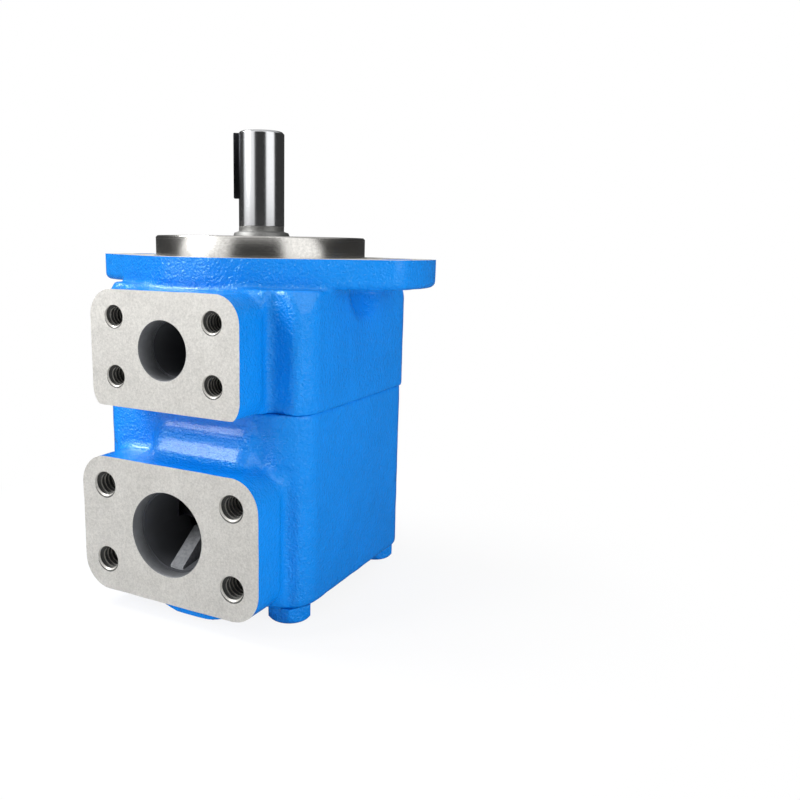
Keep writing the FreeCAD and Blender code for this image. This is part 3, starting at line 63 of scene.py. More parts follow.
def linear(hex_colour):
    """The linear values of an sRGB hex colour."""
    parts = [int(hex_colour[i:i + 2], 16) / 255 for i in (1, 3, 5)]
    return [p / 12.92 if p <= 0.04045 else ((p + 0.055) / 1.055) ** 2.4 for p in parts]


def length(name, description, millimetres):
    return FloatProperty(name=name, description=description, default=millimetres * MM, min=0.0, unit="LENGTH",
                         precision=5)


def angle(name, description, degrees):
    return FloatProperty(name=name, description=description, default=math.radians(degrees), subtype="ANGLE")


def colour(name, description, hex_colour):
    return FloatVectorProperty(name=name, description=description, default=linear(hex_colour), size=3,
                               subtype="COLOR", min=0.0, max=1.0)


class PumpSizes(PropertyGroup):
    """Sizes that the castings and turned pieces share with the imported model"""
    pilot_dia: length("Pilot", "Diameter of the spigot that centres the pump", 101.6)
    pilot_height: length("Pilot height", "Height of the spigot above the mounting face", 9.4)
    pilot_bevel: length("Pilot bevel", "Bevel on the spigot's outer edge", 0.8)
    foot_groove: length("Foot groove", "Width of the groove round the spigot's foot", 1.2)
    flange_thick: length("Flange", "Thickness of the mounting flange", 12.9)
    flange_edge: length("Flange edge", "Cast round on the back of the flange", 3.0)
    flange_round: length("Flange middle", "Diameter of the flange's round middle", 120.0)
    ear_tips: length("Ear tips", "Diameter of the circle on which the ear tips lie", 174.0)
    ear_corner: length("Ear corners", "Round where an ear's side meets its tip", 12.0)
    bolt_span: length("Bolt span", "Distance between the mounting bolts", 146.0)
    bolt_hole: length("Bolt holes", "Diameter of the mounting bolt holes", 14.3)
    wrench_room: length("Wrench rooms", "Diameter of the ball-shaped recesses behind the ears", 43.0)
    body_width: length("Body width", "Front body across X", 115.0)
    body_depth: length("Body depth", "Front body across Y", 113.0)
    column_round: length("Column round", "Round of the four bolt columns", 15.0)
    split: length("Joint", "Mounting face to the joint with the cover", 65.5)
    cover_width: length("Cover width", "Rear cover across X", 113.0)
    cover_depth: length("Cover depth", "Rear cover across Y", 112.0)
    cover_length: length("Cover length", "Joint to the cover's rear face", 88.0)
    screw_span: length("Screw span", "Distance between the cover screws, across X and across Y", 88.0)
    port_reach: length("Port faces", "Shaft axis to the machined port faces", 76.2)
    outlet_level: length("Outlet level", "Mounting face to the outlet axis", 39.0)
    outlet_bore: length("Outlet bore", "Diameter of the outlet", 25.4)
    inlet_level: length("Inlet level", "Mounting face to the inlet axis", 120.65)
    inlet_bore: length("Inlet bore", "Diameter of the inlet", 38.1)
    valley_round: length("Valleys", "Radius of the valleys beside the bosses", 3.8)
    valley_edge: length("Valley edges", "Round on the valleys' edges", 1.5)
    outlet_valley_place: length("Outlet valleys", "Shaft axis to the valleys beside the outlet boss", 42.6)
    outlet_valley_run: length("Outlet valley run-out", "Width of the outer half of the outlet valleys", 12.0)
    inlet_valley_place: length("Inlet valleys", "Shaft axis to the valleys beside the inlet boss", 51.4)
    inlet_valley_run: length("Inlet valley run-out", "Width of the outer half of the inlet valleys", 7.6)
    neck_lean: angle("Neck lean", "Lean of the neck's slope from the upright", 31.0)
    neck_rise: length("Neck rise", "Top of the inlet boss to the upper end of the neck's slope", 17.0)
    neck_width: length("Neck", "Width of the sloped neck above the inlet boss", 58.0)
    neck_shift: length("Neck shift", "How far the neck's middle lies from the inlet's, across X", 7.0)
    neck_round: length("Neck ends", "Round at the ends of the neck", 8.0)
    belly_round: length("Belly", "Radius of the cast belly under the inlet", 45.0)
    belly_shift: length("Belly shift", "How far the belly's middle lies from the inlet's, across X", 10.0)
    belly_level: length("Belly level", "Mounting face to the belly's middle", 114.0)
    belly_top: length("Belly top", "Mounting face to the belly's upper end", 142.0)
    belly_place: length("Belly place", "Shaft axis to the belly's middle, towards the ports", 66.0)
    belly_thick: length("Belly thickness", "Thickness of the belly towards the ports", 13.0)
    web_thick: length("Web", "Thickness of the web behind the inlet", 7.0)
    shaft_dia: length("Shaft", "Diameter of the shaft's keyed end", 22.22)
    shaft_end: length("Shaft end", "Mounting face to the end of the shaft", 58.7)
    key_side: length("Key", "Side of the square key", 4.76)
    key_length: length("Key length", "Length of the key", 30.4)
    grain: length("Grid step", "Step of the grid on which the castings are worked out", 0.85)


class PumpColours(PropertyGroup):
    """Colours of the finishes"""
    paint: colour("Enamel", "Glossy blue enamel over the castings", "#0687E9")
    milled: colour("Milled iron", "Machined port and mounting faces", "#D6D4CF")
    turned: colour("Turned iron", "Turned spigot", "#C4C2BE")
    bored: colour("Bored iron", "Walls of the bores", "#6A6C6F")
    sand_cast: colour("Cast skin", "Unpainted cast skin inside the ports", "#A2A4A8")
    shaft: colour("Ground steel", "Ground drive shaft", "#C9CACC")
    key: colour("Key steel", "Dark drawn key", "#35363A")
    rubber: colour("Rubber", "Moulded seals", "#17181A")
    bronze: colour("Bronze", "Lapped side plates and bushing", "#B08A4E")


def sizes():
    """The sizes as plain values: lengths in millimetres, as they are typed, and angles in radians."""
    group = bpy.context.scene.pump_sizes
    kinds = group.bl_rna.properties
    found = {}
    for name in PumpSizes.__annotations__:
        value = getattr(group, name)
        found[name] = round(value / MM, 4) if kinds[name].unit == "LENGTH" else value
    return SimpleNamespace(**found)


# Meshes from arrays

def new_object(name, points, faces, slots=(), picks=None):
    """An object whose mesh has the given points in millimetres; picks gives each face's slot."""
    mesh = bpy.data.meshes.new(name)
    mesh.from_pydata(np.asarray(points, float) * MM, [], [tuple(int(i) for i in f) for f in faces])
    for material in slots:
        mesh.materials.append(material)
    if picks is not None:
        mesh.polygons.foreach_set("material_index", np.asarray(picks, np.int32))
    mesh.validate()
    mesh.update()
    made = bpy.data.objects.new(name, mesh)
    bpy.context.scene.collection.objects.link(made)
    return made


def grid_faces(rows, columns, close_rows=False):
    """Quads of a grid of points, rows by columns, whose columns run round and whose rows may."""
    i, j = np.meshgrid(np.arange(rows if close_rows else rows - 1), np.arange(columns), indexing="ij")
    here, below, beside = i * columns, (i + 1) % rows * columns, (j + 1) % columns
    return np.stack([here + j, here + beside, below + beside, below + j], -1).reshape(-1, 4)


def place(points, axis, centre):
    """Turns points made about +Z so that they run along +Z or along -Y, and moves them."""
    x, y, z = points[..., 0], points[..., 1], points[..., 2]
    if axis == "-y":
        points = np.stack([x, -z, y], -1)
    return points + np.asarray(centre, float)


def tube(name, rings, slots=(), picks=None, axis="z", centre=(0, 0, 0)):
    """A closed solid through rings of points, the first and last ring closed by a fan from their middle."""
    rows, columns = rings.shape[:2]
    first, last = rows * columns, rows * columns + 1
    ends = np.stack([rings[0].mean(0), rings[-1].mean(0)])
    turn = np.arange(columns)
    after = (turn + 1) % columns
    base = (rows - 1) * columns
    cap_first = np.stack([np.full(columns, first), after, turn], -1)
    cap_last = np.stack([np.full(columns, last), base + turn, base + after], -1)
    points = place(np.concatenate([rings.reshape(-1, 3), ends]), axis, centre)
    faces = [tuple(f) for group in (grid_faces(rows, columns), cap_first, cap_last) for f in group]
    if picks is not None:
        side = np.repeat(picks, columns)
        picks = np.concatenate([side, np.full(columns, picks[0]), np.full(columns, picks[-1])])
    return new_object(name, points, faces, slots, picks)


def eased(profile, ease):
    """The profile with each inner corner replaced by a short curve: the point that runs from one side of the
    corner to the other is (1-t)^2 before + 2t(1-t) corner + t^2 after, with ease the length on each side."""
    spots = np.asarray(profile, float)
    found = [spots[0]]
    for before, corner, after in zip(spots[:-2], spots[1:-1], spots[2:]):
        sides = []
        for way in (before - corner, after - corner):
            span = np.linalg.norm(way)
            # a short side keeps a straight piece between the curves at its ends
            sides.append(corner + way / max(span, 1e-9) * min(ease, span * 0.45))
        for t in (0.0, 0.33, 0.67, 1.0):
            found.append((1 - t) ** 2 * sides[0] + 2 * t * (1 - t) * corner + t ** 2 * sides[1])
    found.append(spots[-1])
    return np.asarray(found)


def turned(name, profile, slots=(), picks=None, axis="z", centre=(0, 0, 0), columns=160, closed=False):
    """A profile of radius and height carried round the axis: x = r cos a, y = r sin a. The profile runs with
    the solid on its left, so that faces point outwards. Flat discs close the ends of an open profile."""
    spots = np.asarray(profile, float)
    around = np.arange(columns) * TURN / columns
    rings = np.stack([
        spots[:, :1] * np.cos(around),
        spots[:, :1] * np.sin(around),
        np.repeat(spots[:, 1:], columns, 1),
    ], -1)
    if closed:
        points = place(rings.reshape(-1, 3), axis, centre)
        return new_object(name, points, grid_faces(len(spots), columns, close_rows=True), slots, picks)
    return tube(name, rings, slots, picks, axis, centre)


def carried(outline, levels):
    """Rings of points: an outline in x and y set at each of several heights."""
    ring = np.asarray(outline, float)
    return np.stack([np.column_stack([ring, np.full(len(ring), z)]) for z in levels])


def finished_mesh(thing):
    """Puts the result of an object's modifiers into its mesh and removes them."""
    graph = bpy.context.evaluated_depsgraph_get()
    result = thing.evaluated_get(graph)
    mesh = bpy.data.meshes.new_from_object(result, preserve_all_data_layers=True, depsgraph=graph)
    old = thing.data
    thing.modifiers.clear()
    thing.data = mesh
    mesh.name = thing.name
    bpy.data.meshes.remove(old)


def carve(thing, cutters, operation="DIFFERENCE"):
    """Cuts solids out of a piece, or joins them to it. The faces that a cutter leaves have its material."""
    for cutter in cutters:
        before = len(thing.data.polygons)
        modifier = thing.modifiers.new("carve", "BOOLEAN")
        modifier.object = cutter
        modifier.operation = operation
        modifier.solver = "MANIFOLD"
        modifier.material_mode = "TRANSFER"
        finished_mesh(thing)
        if not len(thing.data.polygons) or len(thing.data.polygons) == before:
            raise RuntimeError(f"{cutter.name} leaves {thing.name} with {len(thing.data.polygons)} faces")
        mesh = cutter.data
        bpy.data.objects.remove(cutter)
        bpy.data.meshes.remove(mesh)


def join(things, name):
    """Puts several objects' meshes into one piece."""
    points, faces, picks, slots, offset = [], [], [], [], 0
    for thing in things:
        mesh = thing.data
        points.append(vertices(mesh) / MM)
        slots += [material for material in mesh.materials if material not in slots]
        own = [slots.index(material) for material in mesh.materials]
        faces += [tuple(i + offset for i in p.vertices) for p in mesh.polygons]
        picks += [own[p.material_index] for p in mesh.polygons]
        offset += len(mesh.vertices)
        bpy.data.objects.remove(thing)
        bpy.data.meshes.remove(mesh)
    return new_object(name, np.concatenate(points), faces, slots, picks)


def vertices(mesh):
    found = np.empty(len(mesh.vertices) * 3)
    mesh.vertices.foreach_get("co", found)
    return found.reshape(-1, 3)


def outward(thing):
    """Turns the faces of a closed mesh outwards: its signed volume is made positive."""
    mesh = thing.data
    mesh.calc_loop_triangles()
    corners = np.empty(len(mesh.loop_triangles) * 3, np.int32)
    mesh.loop_triangles.foreach_get("vertices", corners)
    a, b, c = np.moveaxis(vertices(mesh)[corners.reshape(-1, 3)], 1, 0)
    if np.einsum("ij,ij->i", a, np.cross(b, c)).sum() < 0:
        mesh.flip_normals()


def tidy_solid(thing):
    """Drops points that no face uses and turns every face of a closed solid outwards."""
    work = bmesh.new()
    work.from_mesh(thing.data)
    bmesh.ops.delete(work, geom=[v for v in work.verts if not v.link_faces], context="VERTS")
    bmesh.ops.recalc_face_normals(work, faces=work.faces)
    work.to_mesh(thing.data)
    work.free()
    thing.data.update()


def smooth(thing, degrees=50):
    """Shades a piece smooth, apart from edges sharper than an angle and from milled faces, which are flat."""
    mesh = thing.data
    picks = np.empty(len(mesh.polygons), np.int32)
    mesh.polygons.foreach_get("material_index", picks)
    flat = [i for i, material in enumerate(mesh.materials) if material == FINISHES.get("milled")]
    # finding the sharp edges clears the flat faces, so these are set after it
    mesh.set_sharp_from_angle(angle=math.radians(degrees))
    mesh.polygons.foreach_set("use_smooth", ~np.isin(picks, flat))
    mesh.update()


# Distances to simple forms, negative inside, from which the castings are blended

def meet_rounded(a, b, radius, degrees=90.0):
    """The distance to what two forms share, its edge rounded. Beyond both faces it is the distance to the
    edge of the forms shrunk by the radius, sqrt(u^2 + v^2 - 2uv cos) / sin, less the radius."""
    u, v = a + radius, b + radius
    sine, cosine = math.sin(math.radians(degrees)), math.cos(math.radians(degrees))
    beyond = (u - v * cosine > 0) & (v - u * cosine > 0)
    edge = np.sqrt(np.maximum(u * u + v * v - 2 * u * v * cosine, 0)) / sine
    return np.where(beyond, edge, np.maximum(u, v)) - radius


def join_filleted(a, b, radius):
    """The distance to two forms together, with a hollow fillet where they meet."""
    return -meet_rounded(-a, -b, radius)


def without(a, b, radius):
    """The distance to the first form with the second taken out, its new edge rounded."""
    return meet_rounded(a, -b, radius)


def rectangle(u, v, half_u, half_v, corner):
    """The distance to a rectangle with round corners: how far the folded point lies past the corner's centre,
    less the corner radius."""
    p = np.abs(u) - half_u + corner
    q = np.abs(v) - half_v + corner
    return np.hypot(np.maximum(p, 0), np.maximum(q, 0)) + np.minimum(np.maximum(p, q), 0) - corner


WAVE_LENGTHS = (9.0, 12.0, 14.0, 19.0, 27.0, 11.0, 16.0, 23.0)
WAVE_HEIGHT = 0.07


def waves(x, y, z, seed):
    """The slow unevenness of a sand mould: the sum of a sine along a random direction for each wave length."""
    draw = np.random.default_rng(seed)
    total = np.zeros_like(x)
    for wave in WAVE_LENGTHS:
        way = draw.normal(size=3)
        way *= TURN / wave / np.linalg.norm(way)
        total += np.sin(way[0] * x + way[1] * y + way[2] * z + draw.uniform(0, TURN))
    return total * WAVE_HEIGHT / math.sqrt(len(WAVE_LENGTHS))


def from_field(name, field, low, high):
    """The enamelled surface on which a casting's distance field is zero, found on a grid of cubes."""
    s = sizes()
    step = s.grain
    axes = [np.arange(a, b + step, step, dtype=np.float32) for a, b in zip(low, high)]
    x, y, z = np.meshgrid(*axes, indexing="ij", sparse=False)
    # values further out than this many steps don't shape the surface
    reach = 4 * step
    values = np.clip(field(s, x, y, z), -reach, reach).astype(np.float32)
    grid = openvdb.FloatGrid(background=float(reach))
    grid.copyFromArray(values)
    points, quads = grid.convertToQuads(0.0)
    points = np.asarray(points, float) * step + np.array([a[0] for a in axes])
    return new_object(name, points, np.asarray(quads)[:, ::-1], [finish("enamel")])


# The castings' forms, in millimetres

# rounds on cast edges, the hollow round a boss, and the rounds at the joint and at the cover's rear face
CAST_EDGE = 2.0
BOSS_FILLET = 3.5
FLANGE_FILLET = 3.0
JOINT_EDGE = 0.9
REAR_EDGE = 3.0
# iron left for the face mill, and how deep a boss and the neck reach into the wall behind them
FLANGE_STOCK = 3.0
BOSS_STOCK = 2.0
BOSS_ROOT = 8.0
NECK_ROOT = 4.0
# the flange's sides leave its round middle at one angle and meet the circle through its tips at the other
SIDE_ANGLE = 60.0
TIP_ANGLE = 46.4
# the slope above the columns: how far it runs out and down, and its angle to the block's top
SLOPE_OUT, SLOPE_DOWN, SLOPE_ANGLE = 3.9, 7.0, 60.0
OUTLET_BOSS = {"top": -14.0, "width": 79.6, "corner": 12.0}
OUTLET_BOSS_PAST_JOINT = 3.5
INLET_BOSS = {"top": -89.3, "end": -153.0, "width": 97.0, "corner": 14.0}
FRONT_SEED, REAR_SEED = 5, 11


def flange_distance(s, x, y):
    """The distance to the flange's outline: the circle of its middle, straight sides that leave it, and the
    circle through the ear tips, with rounded corners."""
    across, up = np.abs(x), np.abs(y)
    normal = (math.cos(math.radians(SIDE_ANGLE)), math.sin(math.radians(SIDE_ANGLE)))
    on_side = across * normal[1] - up * normal[0] > 0
    sides = np.where(on_side, across * normal[0] + up * normal[1], np.hypot(x, y)) - s.flange_round / 2
    tips = np.hypot(x, y) - s.ear_tips / 2
    return meet_rounded(sides, tips, s.ear_corner, TIP_ANGLE)


def valley_distance(s, x, inward, middle, run):
    """The distance to the valley beside a boss: a round channel whose outer half is stretched across X to the
    width run, so that it is steep beside the boss and runs out gently towards the column."""
    across = np.abs(x) - middle
    across = np.where(across > 0, across * s.valley_round / run, across)
    return np.hypot(across, inward) - s.valley_round


def boss_distance(s, x, y, z, wall, top, end, width, corner):
    """The distance to a port's boss: a rectangle with round corners that stands out from the wall."""
    boss = rectangle(x, z - (top + end) / 2, width / 2, (top - end) / 2, corner)
    return np.maximum(boss, np.maximum(y - wall - BOSS_ROOT, -y - s.port_reach - BOSS_STOCK))


def front_field(s, x, y, z):
    """The front casting before it is machined: flange, square block with four bolt columns whose tops slope
    off, a ball of room behind each ear, and the outlet boss with a valley on each side."""
    wall = -s.body_depth / 2
    plate = meet_rounded(flange_distance(s, x, y), -z - s.flange_thick, s.flange_edge)
    plate = np.maximum(plate, z - FLANGE_STOCK)
    column = rectangle(x, y, s.body_width / 2, s.body_depth / 2, s.column_round)
    top = z + s.flange_thick
    reach = math.hypot(s.body_width / 2 - s.column_round, s.body_depth / 2 - s.column_round) + s.column_round
    slope = (np.hypot(x, y) - reach + SLOPE_OUT) * SLOPE_DOWN + top * SLOPE_OUT
    slope /= math.hypot(SLOPE_OUT, SLOPE_DOWN)
    body = meet_rounded(column, top, CAST_EDGE)
    body = meet_rounded(body, slope, CAST_EDGE, SLOPE_ANGLE)
    room = np.sqrt((np.abs(x) - s.bolt_span / 2) ** 2 + y ** 2 + top ** 2) - s.wrench_room / 2
    body = without(body, room, CAST_EDGE)
    body = join_filleted(plate, body, FLANGE_FILLET)
    boss = boss_distance(s, x, y, z, wall, end=-(s.split + OUTLET_BOSS_PAST_JOINT), **OUTLET_BOSS)
    body = join_filleted(body, boss, BOSS_FILLET)
    valley = valley_distance(s, x, y - wall, s.outlet_valley_place, s.outlet_valley_run)
    body = without(body, valley, s.valley_edge)
    body = body + waves(x, y, z, FRONT_SEED)
    return meet_rounded(body, -z - s.split, JOINT_EDGE)


def rear_field(s, x, y, z):
    """The rear casting before it is machined: square block, inlet boss, sloped neck above it and belly."""
    wall = -s.cover_depth / 2
    column = rectangle(x, y, s.cover_width / 2, s.cover_depth / 2, s.column_round)
    body = meet_rounded(column, -(s.split + s.cover_length) - z, REAR_EDGE)
    # the neck is a steep slope that leaves the wall above the boss and reaches the boss's top further out
    top = INLET_BOSS["top"]
    neck = (wall - y) * math.cos(s.neck_lean) + (z - top - s.neck_rise) * math.sin(s.neck_lean)
    neck = np.maximum(neck, np.maximum(top - NECK_ROOT - z, y - wall - NECK_ROOT))
    neck = meet_rounded(neck, np.abs(x - s.neck_shift) - s.neck_width / 2, s.neck_round)
    body = join_filleted(body, neck, BOSS_FILLET)
    body = join_filleted(body, boss_distance(s, x, y, z, wall, **INLET_BOSS), BOSS_FILLET)
    # the casting's belly under the inlet passage, a little off centre and just behind the machined face
    belly = np.hypot(x - s.belly_shift, z + s.belly_level) - s.belly_round
    belly = meet_rounded(belly, np.abs(y + s.belly_place) - s.belly_thick / 2, CAST_EDGE)
    belly = np.maximum(belly, z + s.belly_top)
    body = join_filleted(body, belly, CAST_EDGE)
    valley = valley_distance(s, x, y - wall, s.inlet_valley_place, s.inlet_valley_run)
    body = without(body, np.maximum(valley, z - top), s.valley_edge)
    body = body + waves(x, y, z, REAR_SEED)
    return meet_rounded(body, z + s.split, JOINT_EDGE)


# Bores, holes and threads

# The threads are drawn a little coarser than their real pitches of 1.5 and 1.75, so that they show.
OUTLET_TAPS = {"across": 52.4, "along": 26.2, "hole": 10.0, "pitch": 2.0, "depth": 24.0}
INLET_TAPS = {"across": 69.9, "along": 35.7, "hole": 12.0, "pitch": 2.3, "depth": 27.0}
# crest, inner flank, root and outer flank of one turn as shares of the pitch, whether each is at the root,
# and whether each takes the crest's lighter finish, a painted highlight
THREAD_SHARES = np.array([0.0, 0.3, 0.5, 0.7])
THREAD_AT_ROOT = np.array([0.0, 0.0, 1.0, 1.0])
THREAD_CREST_HIGHLIGHT = np.array([1, 0, 0, 0])
THREAD_HEIGHT = 0.54
THREAD_COLUMNS = 48
THREAD_BEVEL = 0.2
DRILL_TIP = 0.3


def thread(name, hole, pitch, depth, centre):
    """A tapped hole whose rows of points follow the thread, so that its crests and roots are crisp. Row k at
    angle a lies at depth d = pitch (whole turns + the row's share of a turn + a/turn) and radius R at a root
    or R - height at a crest, widened at the mouth to R + bevel - d. Row k at a full turn is row k + 4 at
    none, so the columns close on themselves one turn further down. A fan closes the top, and a drill's cone
    the end."""
    corners, columns = len(THREAD_SHARES), THREAD_COLUMNS
    row = np.arange(corners * (int(depth / pitch) + 2))
    corner = row % corners
    start = (row // corners + THREAD_SHARES[corner] - 1.5)[:, None]
    around = (np.arange(columns) * TURN / columns)[None, :]
    down = (start + around / TURN) * pitch
    crest = hole / 2 - THREAD_HEIGHT * pitch
    radius = crest + (hole / 2 - crest) * THREAD_AT_ROOT[corner][:, None]
    radius = np.maximum(radius + np.zeros_like(down), hole / 2 + THREAD_BEVEL - down)
    grid = np.stack([radius * np.cos(around), radius * np.sin(around), -down], -1).reshape(-1, 3)
    rows, used = len(row) - corners, len(grid)
    number = np.arange(used).reshape(len(row), columns)
    closed = np.concatenate([number[:rows], number[corners:, :1]], 1)
    faces = np.stack([closed[1:, :-1], closed[1:, 1:], closed[:-1, 1:], closed[:-1, :-1]], -1).reshape(-1, 4)
    top_rim = np.concatenate([closed[0, :-1], number[corners:0:-1, 0]])
    low_rim = np.concatenate([closed[-1, :-1], number[:rows - 1:-1, 0]])
    tips = np.array([(0.0, 0.0, 2 * pitch), (0.0, 0.0, -down.max() - DRILL_TIP * hole)])
    fans = [(int(a), int(b), used) for a, b in zip(top_rim, np.roll(top_rim, -1))]
    fans += [(used + 1, int(b), int(a)) for a, b in zip(low_rim, np.roll(low_rim, -1))]
    points = place(np.concatenate([grid, tips]), "-y", centre)
    # the crest rows take the lighter finish, a painted highlight, and the other rows the darker root finish,
    # oil and painted shade
    picks = np.concatenate([np.repeat(THREAD_CREST_HIGHLIGHT[corner[:rows - 1]], columns), np.zeros(len(fans), int)])
    made = new_object(name, points, [tuple(f) for f in faces] + fans,
                      [finish("thread_root"), finish("thread_crest")], picks)
    tidy_solid(made)
    return made


def tapped_holes(name, s, level, across, along, hole, pitch, depth):
    """The four tapped holes round a port, across and along being the distances between them."""
    return [
        thread(f"{name}_{i}_{j}", hole, pitch, depth, (i * across / 2, -s.port_reach, -level + j * along / 2))
        for i in (-1, 1) for j in (-1, 1)
    ]


def round_hole(name, radius, low, high, tone, x=0.0, y=0.0, columns=32):
    """A plain round cutter that runs along Z between two heights."""
    profile = [(NEAR_AXIS, low), (radius, low), (radius, high), (NEAR_AXIS, high)]
    return turned(name, profile, [finish(tone)], centre=(x, y, 0), columns=columns)


def screw_places(s):
    """Where the four cover screws stand, as x and y."""
    half = s.screw_span / 2
    return [(x, y) for x in (-half, half) for y in (-half, half)]


def bore_cutter(name, s, bore, depth, way, way_depth, level):
    """The bevelled bore of a port with the narrower cast way behind it."""
    bevel, above = 0.35, 1.0
    profile = [
        (NEAR_AXIS, -way_depth),
        (way / 2, -way_depth),
        (way / 2, -depth),
        (bore / 2, -depth),
        (bore / 2, -bevel),
        (bore / 2 + bevel, 0.0),
        (bore / 2 + bevel + above, above),
        (NEAR_AXIS, above),
    ]
    picks = [0, 0, 0, 1, 1, 1, 1]
    finishes = [finish("cast_way"), finish("bored")]
    return turned(name, profile, finishes, picks, "-y", (0, -s.port_reach, -level))


def pad_cutter(s, top):
    """The block that the face mill takes off in front of the port faces, up to a height."""
    y = -s.port_reach
    outline = [(-FAR, y - FAR), (FAR, y - FAR), (FAR, y), (-FAR, y)]
    return tube("pad_cut", carried(outline, (-FAR, top)), [finish("milled")])


# Materials

def add_node(tree, kind, inputs=None, **settings):
    """Adds a node, sets what is given, and fills its inputs, by name or number: with a value, with another
    node's output, or with a node, which stands for its first output."""
    made = tree.nodes.new("ShaderNode" + kind)
    for key, setting in settings.items():
        setattr(made, key, setting)
    for key, source in (inputs or {}).items():
        if isinstance(source, bpy.types.Node):
            source = source.outputs[0]
        if isinstance(source, bpy.types.NodeSocket):
            tree.links.new(source, made.inputs[key])
        else:
            made.inputs[key].default_value = source
    return made


def new_material(name):
    """An empty node material, the function that adds to it, and its Object coordinates."""
    material = bpy.data.materials.new(name)
    material.use_nodes = True
    material.node_tree.nodes.clear()
    add = partial(add_node, material.node_tree)
    return material, add, add("TexCoord").outputs["Object"]


def grain_size(millimetres):
    """The scale that gives a texture features of a real size."""
    return 1.0 / (millimetres * MM)


def rgba(colour_value, share=1.0):
    return [min(c * share, 1.0) for c in colour_value] + [1.0]


def spread(add, noise, low, high):
    """A noise value stretched from the middle of its range to two given values."""
    return add("MapRange", {"Value": noise, "From Min": 0.3, "From Max": 0.7, "To Min": low, "To Max": high})


def shades(add, noise, tone, dark, bright):
    """The colour that a noise value picks between a darker and a brighter share of a tone."""
    return add("Mix", {0: spread(add, noise, 0.0, 1.0), 6: rgba(tone, dark), 7: rgba(tone, bright)},
               data_type="RGBA").outputs[2]


def coat(add, **inputs):
    """The shader that all goes into, with its output; an underscore stands for a space in an input's name."""
    shader = add("BsdfPrincipled", {key.replace("_", " "): source for key, source in inputs.items()})
    add("OutputMaterial", {"Surface": shader})


def enamel():
    """Blue enamel sprayed over a sand casting: glossy, with the mould's grain showing as orange peel."""
    material, add, spot = new_material("blue_enamel_on_casting")
    tone = bpy.context.scene.pump_colours.paint
    patches = add("TexNoise", {"Vector": spot, "Scale": grain_size(38), "Detail": 2.0})
    peel = add("TexNoise", {"Vector": spot, "Scale": grain_size(2.4), "Detail": 1.5, "Roughness": 0.45})
    sand = add("TexNoise", {"Vector": spot, "Scale": grain_size(1.0), "Detail": 1.0})
    coarse = add("Bump", {"Height": peel, "Distance": 0.5 * MM, "Strength": 1.0})
    fine = add("Bump", {"Height": sand, "Distance": 0.7 * MM, "Strength": 1.0, "Normal": coarse})
    coat(add, Base_Color=shades(add, patches, tone, 0.94, 1.05), Normal=fine,
         Roughness=spread(add, peel, 0.18, 0.26), IOR=1.6, Specular_Tint=(0.55, 1.0, 0.8, 1.0),
         Coat_Weight=0.4, Coat_Roughness=0.12)
    return material


def milled_iron():
    """Grey iron planed by a face mill: bright warm grey with fine dark specks of graphite."""
    material, add, spot = new_material("milled_grey_iron")
    tone = bpy.context.scene.pump_colours.milled
    specks = add("TexNoise", {"Vector": spot, "Scale": grain_size(0.9), "Detail": 4.0, "Roughness": 0.7})
    clouds = add("TexNoise", {"Vector": spot, "Scale": grain_size(9), "Detail": 2.0})
    faint = add("Math", {0: clouds, 1: 0.2}, operation="MULTIPLY")
    both = add("Math", {0: specks, 1: 0.8, 2: faint}, operation="MULTIPLY_ADD")
    bump = add("Bump", {"Height": specks, "Distance": 0.05 * MM, "Strength": 0.6})
    coat(add, Base_Color=shades(add, both, tone, 0.72, 1.12), Normal=bump,
         Roughness=spread(add, specks, 0.42, 0.56), Metallic=0.4)
    return material


# a quarter turn: the tangent runs along the tool marks, and a highlight stretches across them
ACROSS_MARKS = 0.25


def around_axis(add, spot):
    """The direction round the shaft axis at a point: the cross product of +Z and the point's place."""
    cross = add("VectorMath", {0: (0, 0, 1), 1: spot}, operation="CROSS_PRODUCT")
    return add("VectorMath", {0: cross}, operation="NORMALIZE")


def lathe_rings(add, spot, pitch, strength):
    """Fine tool marks that run round the axis: bands along the height and along the radius."""
    parts = add("SeparateXYZ", {"Vector": spot})
    flat = add("CombineXYZ", {"X": parts.outputs["X"], "Y": parts.outputs["Y"]})
    radius = add("VectorMath", {0: flat}, operation="LENGTH").outputs["Value"]
    path = add("Math", {0: radius, 1: parts.outputs["Z"]}, operation="ADD")
    marks = add("TexNoise", {"W": path, "Scale": grain_size(pitch), "Detail": 3.0, "Roughness": 0.7},
                noise_dimensions="1D")
    return marks, add("Bump", {"Height": marks, "Distance": 0.03 * MM, "Strength": strength})


def turned_iron():
    """Grey iron turned on a lathe: marks run round the axis and stretch its highlights across them."""
    material, add, spot = new_material("turned_grey_iron")
    tone = bpy.context.scene.pump_colours.turned
    marks, normal = lathe_rings(add, spot, 0.5, 0.4)
    specks = add("TexNoise", {"Vector": spot, "Scale": grain_size(1.2), "Detail": 4.0, "Roughness": 0.7})
    coat(add, Base_Color=shades(add, specks, tone, 0.82, 1.08), Normal=normal, Tangent=around_axis(add, spot),
         Roughness=spread(add, marks, 0.2, 0.28), Metallic=1.0, Anisotropic=0.45,
         Anisotropic_Rotation=ACROSS_MARKS)
    return material


def ground_steel():
    """Cylindrically ground steel: near mirror, drawn out round the shaft."""
    material, add, spot = new_material("ground_shaft_steel")
    tone = bpy.context.scene.pump_colours.shaft
    marks, normal = lathe_rings(add, spot, 0.35, 0.18)
    coat(add, Base_Color=shades(add, marks, tone, 0.92, 1.04), Normal=normal, Tangent=around_axis(add, spot),
         Roughness=spread(add, marks, 0.16, 0.24), Metallic=1.0, Anisotropic=0.4,
         Anisotropic_Rotation=ACROSS_MARKS)
    return material


